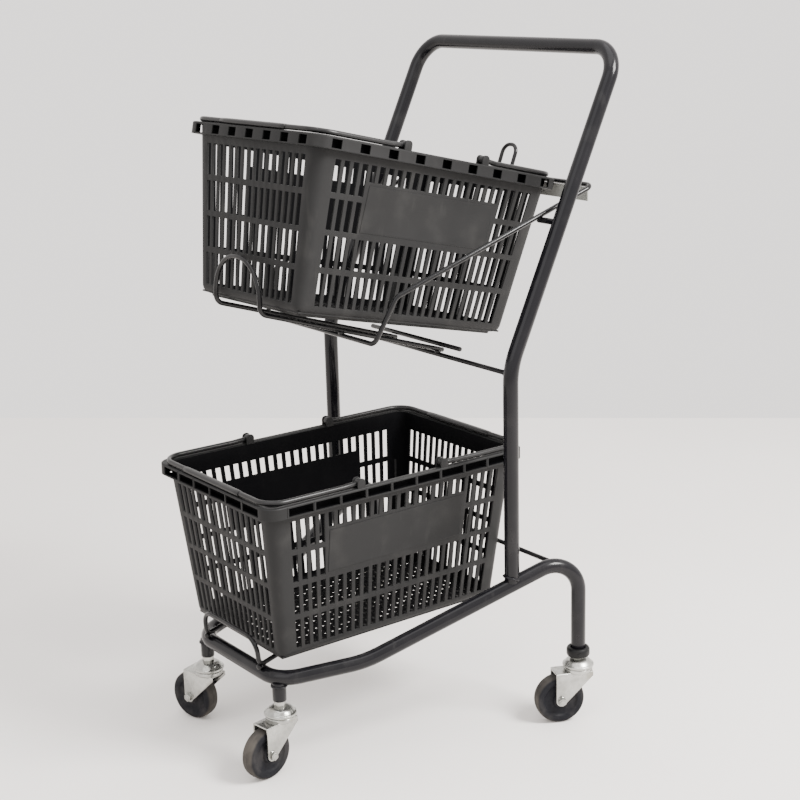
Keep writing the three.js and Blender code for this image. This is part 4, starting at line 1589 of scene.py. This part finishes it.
# ---------------------------------------------------------------- studio
@dataclass(frozen=True)
class Viewpoint:
    """Where the camera stands: what it looks at, from which direction and how far, in millimetres and degrees."""

    target: tuple = (-0.7, 211.9, 545.9)
    azimuth: float = 52.954
    elevation: float = 15.449
    roll: float = -1.514
    distance: float = 2132.8
    lens: float = 71.42

    @property
    def back(self) -> Vector:
        """Unit vector from the target to the camera."""
        return towards(self.azimuth, self.elevation)

    def matrix(self) -> Matrix:
        """The camera's place in the row frame."""
        back = self.back
        right = (-back).cross(Vector((0, 0, 1))).normalized()
        up = right.cross(-back)
        roll = math.radians(self.roll)
        across = right * math.cos(roll) + up * math.sin(roll)
        above = up * math.cos(roll) - right * math.sin(roll)
        turn = Matrix((across, above, back)).transposed().to_4x4()
        eye = (Vector(self.target) + back * self.distance) * MM + SHIFT
        return Matrix.Translation(eye) @ turn


@dataclass
class Studio:
    """A pale floor, a pale surround, soft lights and the camera."""

    shop: Workshop
    view: Viewpoint = Viewpoint()

    EDGE_TURN = 5.44                 # degrees that the floor's edge is turned from square to the view
    FLOOR_SIDE = 14.0                # metres
    FLOOR_BEYOND = 1.64              # metres from the trolley to the floor's edge

    def build(self) -> None:
        """Sets up everything round the trolley."""
        self.floor()
        self.surround()
        self.light("key", 118, 40, 2.8, 190.0, 1.0, (1.0, 0.985, 0.96))
        self.light("fill", 20, 38, 3.0, 20.0, 2.2, (0.97, 0.985, 1.0))
        self.light("top", 90, 86, 2.6, 30.0, 2.0, (1.0, 1.0, 1.0))
        self.camera()

    def floor(self) -> None:
        """The floor ends behind the trolley in a straight line across the view."""
        plane = start("floor", bpy.ops.mesh.primitive_plane_add, size=self.FLOOR_SIDE)
        with editing(plane):
            bpy.ops.mesh.subdivide(number_cuts=7)
        heading = math.radians(self.view.azimuth - self.EDGE_TURN)
        outward = Vector((math.cos(heading), math.sin(heading), 0.0))
        middle = SHIFT + outward * (self.FLOOR_SIDE / 2 - self.FLOOR_BEYOND)
        put(plane, Matrix.Translation(middle) @ Matrix.Rotation(heading, 4, "Z"))
        plane.data.materials.append(self.shop.material(STUDIO_FLOOR))

    def surround(self) -> None:
        """Even pale light from all round."""
        world = bpy.data.worlds.new("surround")
        world.use_nodes = True
        background = world.node_tree.nodes["Background"]
        background.inputs["Color"].default_value = rgb(0.86, 0.828, 0.806)
        background.inputs["Strength"].default_value = 2.1
        bpy.context.scene.world = world

    def light(
        self, name: str, azimuth: float, elevation: float, distance: float, power: float, size: float, tint: tuple
    ) -> None:
        """A square soft light that faces the trolley.

        Args:
            name: name of the light.
            azimuth: where it stands, in degrees from forward towards the left.
            elevation: height above the horizon in degrees.
            distance: from the trolley's middle in metres.
            power: in watts.
            size: side of the square in metres.
            tint: its colour.
        """
        data = bpy.data.lights.new(name, "AREA")
        data.energy = power
        data.size = size
        data.color = tint
        lamp = bpy.data.objects.new(name, data)
        bpy.context.collection.objects.link(lamp)
        direction = towards(azimuth, elevation)
        middle = SHIFT + Vector((0, 0, 0.45))
        lamp.matrix_world = Matrix.Translation(middle + direction * distance) @ aim(direction)

    def camera(self) -> None:
        """The camera, at the viewpoint and without depth of field."""
        data = bpy.data.cameras.new("camera")
        data.lens = self.view.lens
        data.sensor_width = 36.0
        data.dof.use_dof = False
        camera = bpy.data.objects.new("camera", data)
        bpy.context.collection.objects.link(camera)
        camera.matrix_world = self.view.matrix()
        bpy.context.scene.camera = camera


def main() -> None:
    """Builds the trolley, then the studio round it."""
    logging.basicConfig(level=logging.INFO, format="%(name)s: %(message)s")
    shop = Workshop()
    TubeFrame(shop).build()
    Carriers(shop).build()
    Casters(shop).build()
    Basket(shop, "lower", 40.0).build()
    Basket(shop, "upper", 17.0).build()
    Studio(shop).build()
    bpy.context.view_layer.update()
    log.info("%d pieces", len(shop.made))


if __name__ == "__main__":
    main()
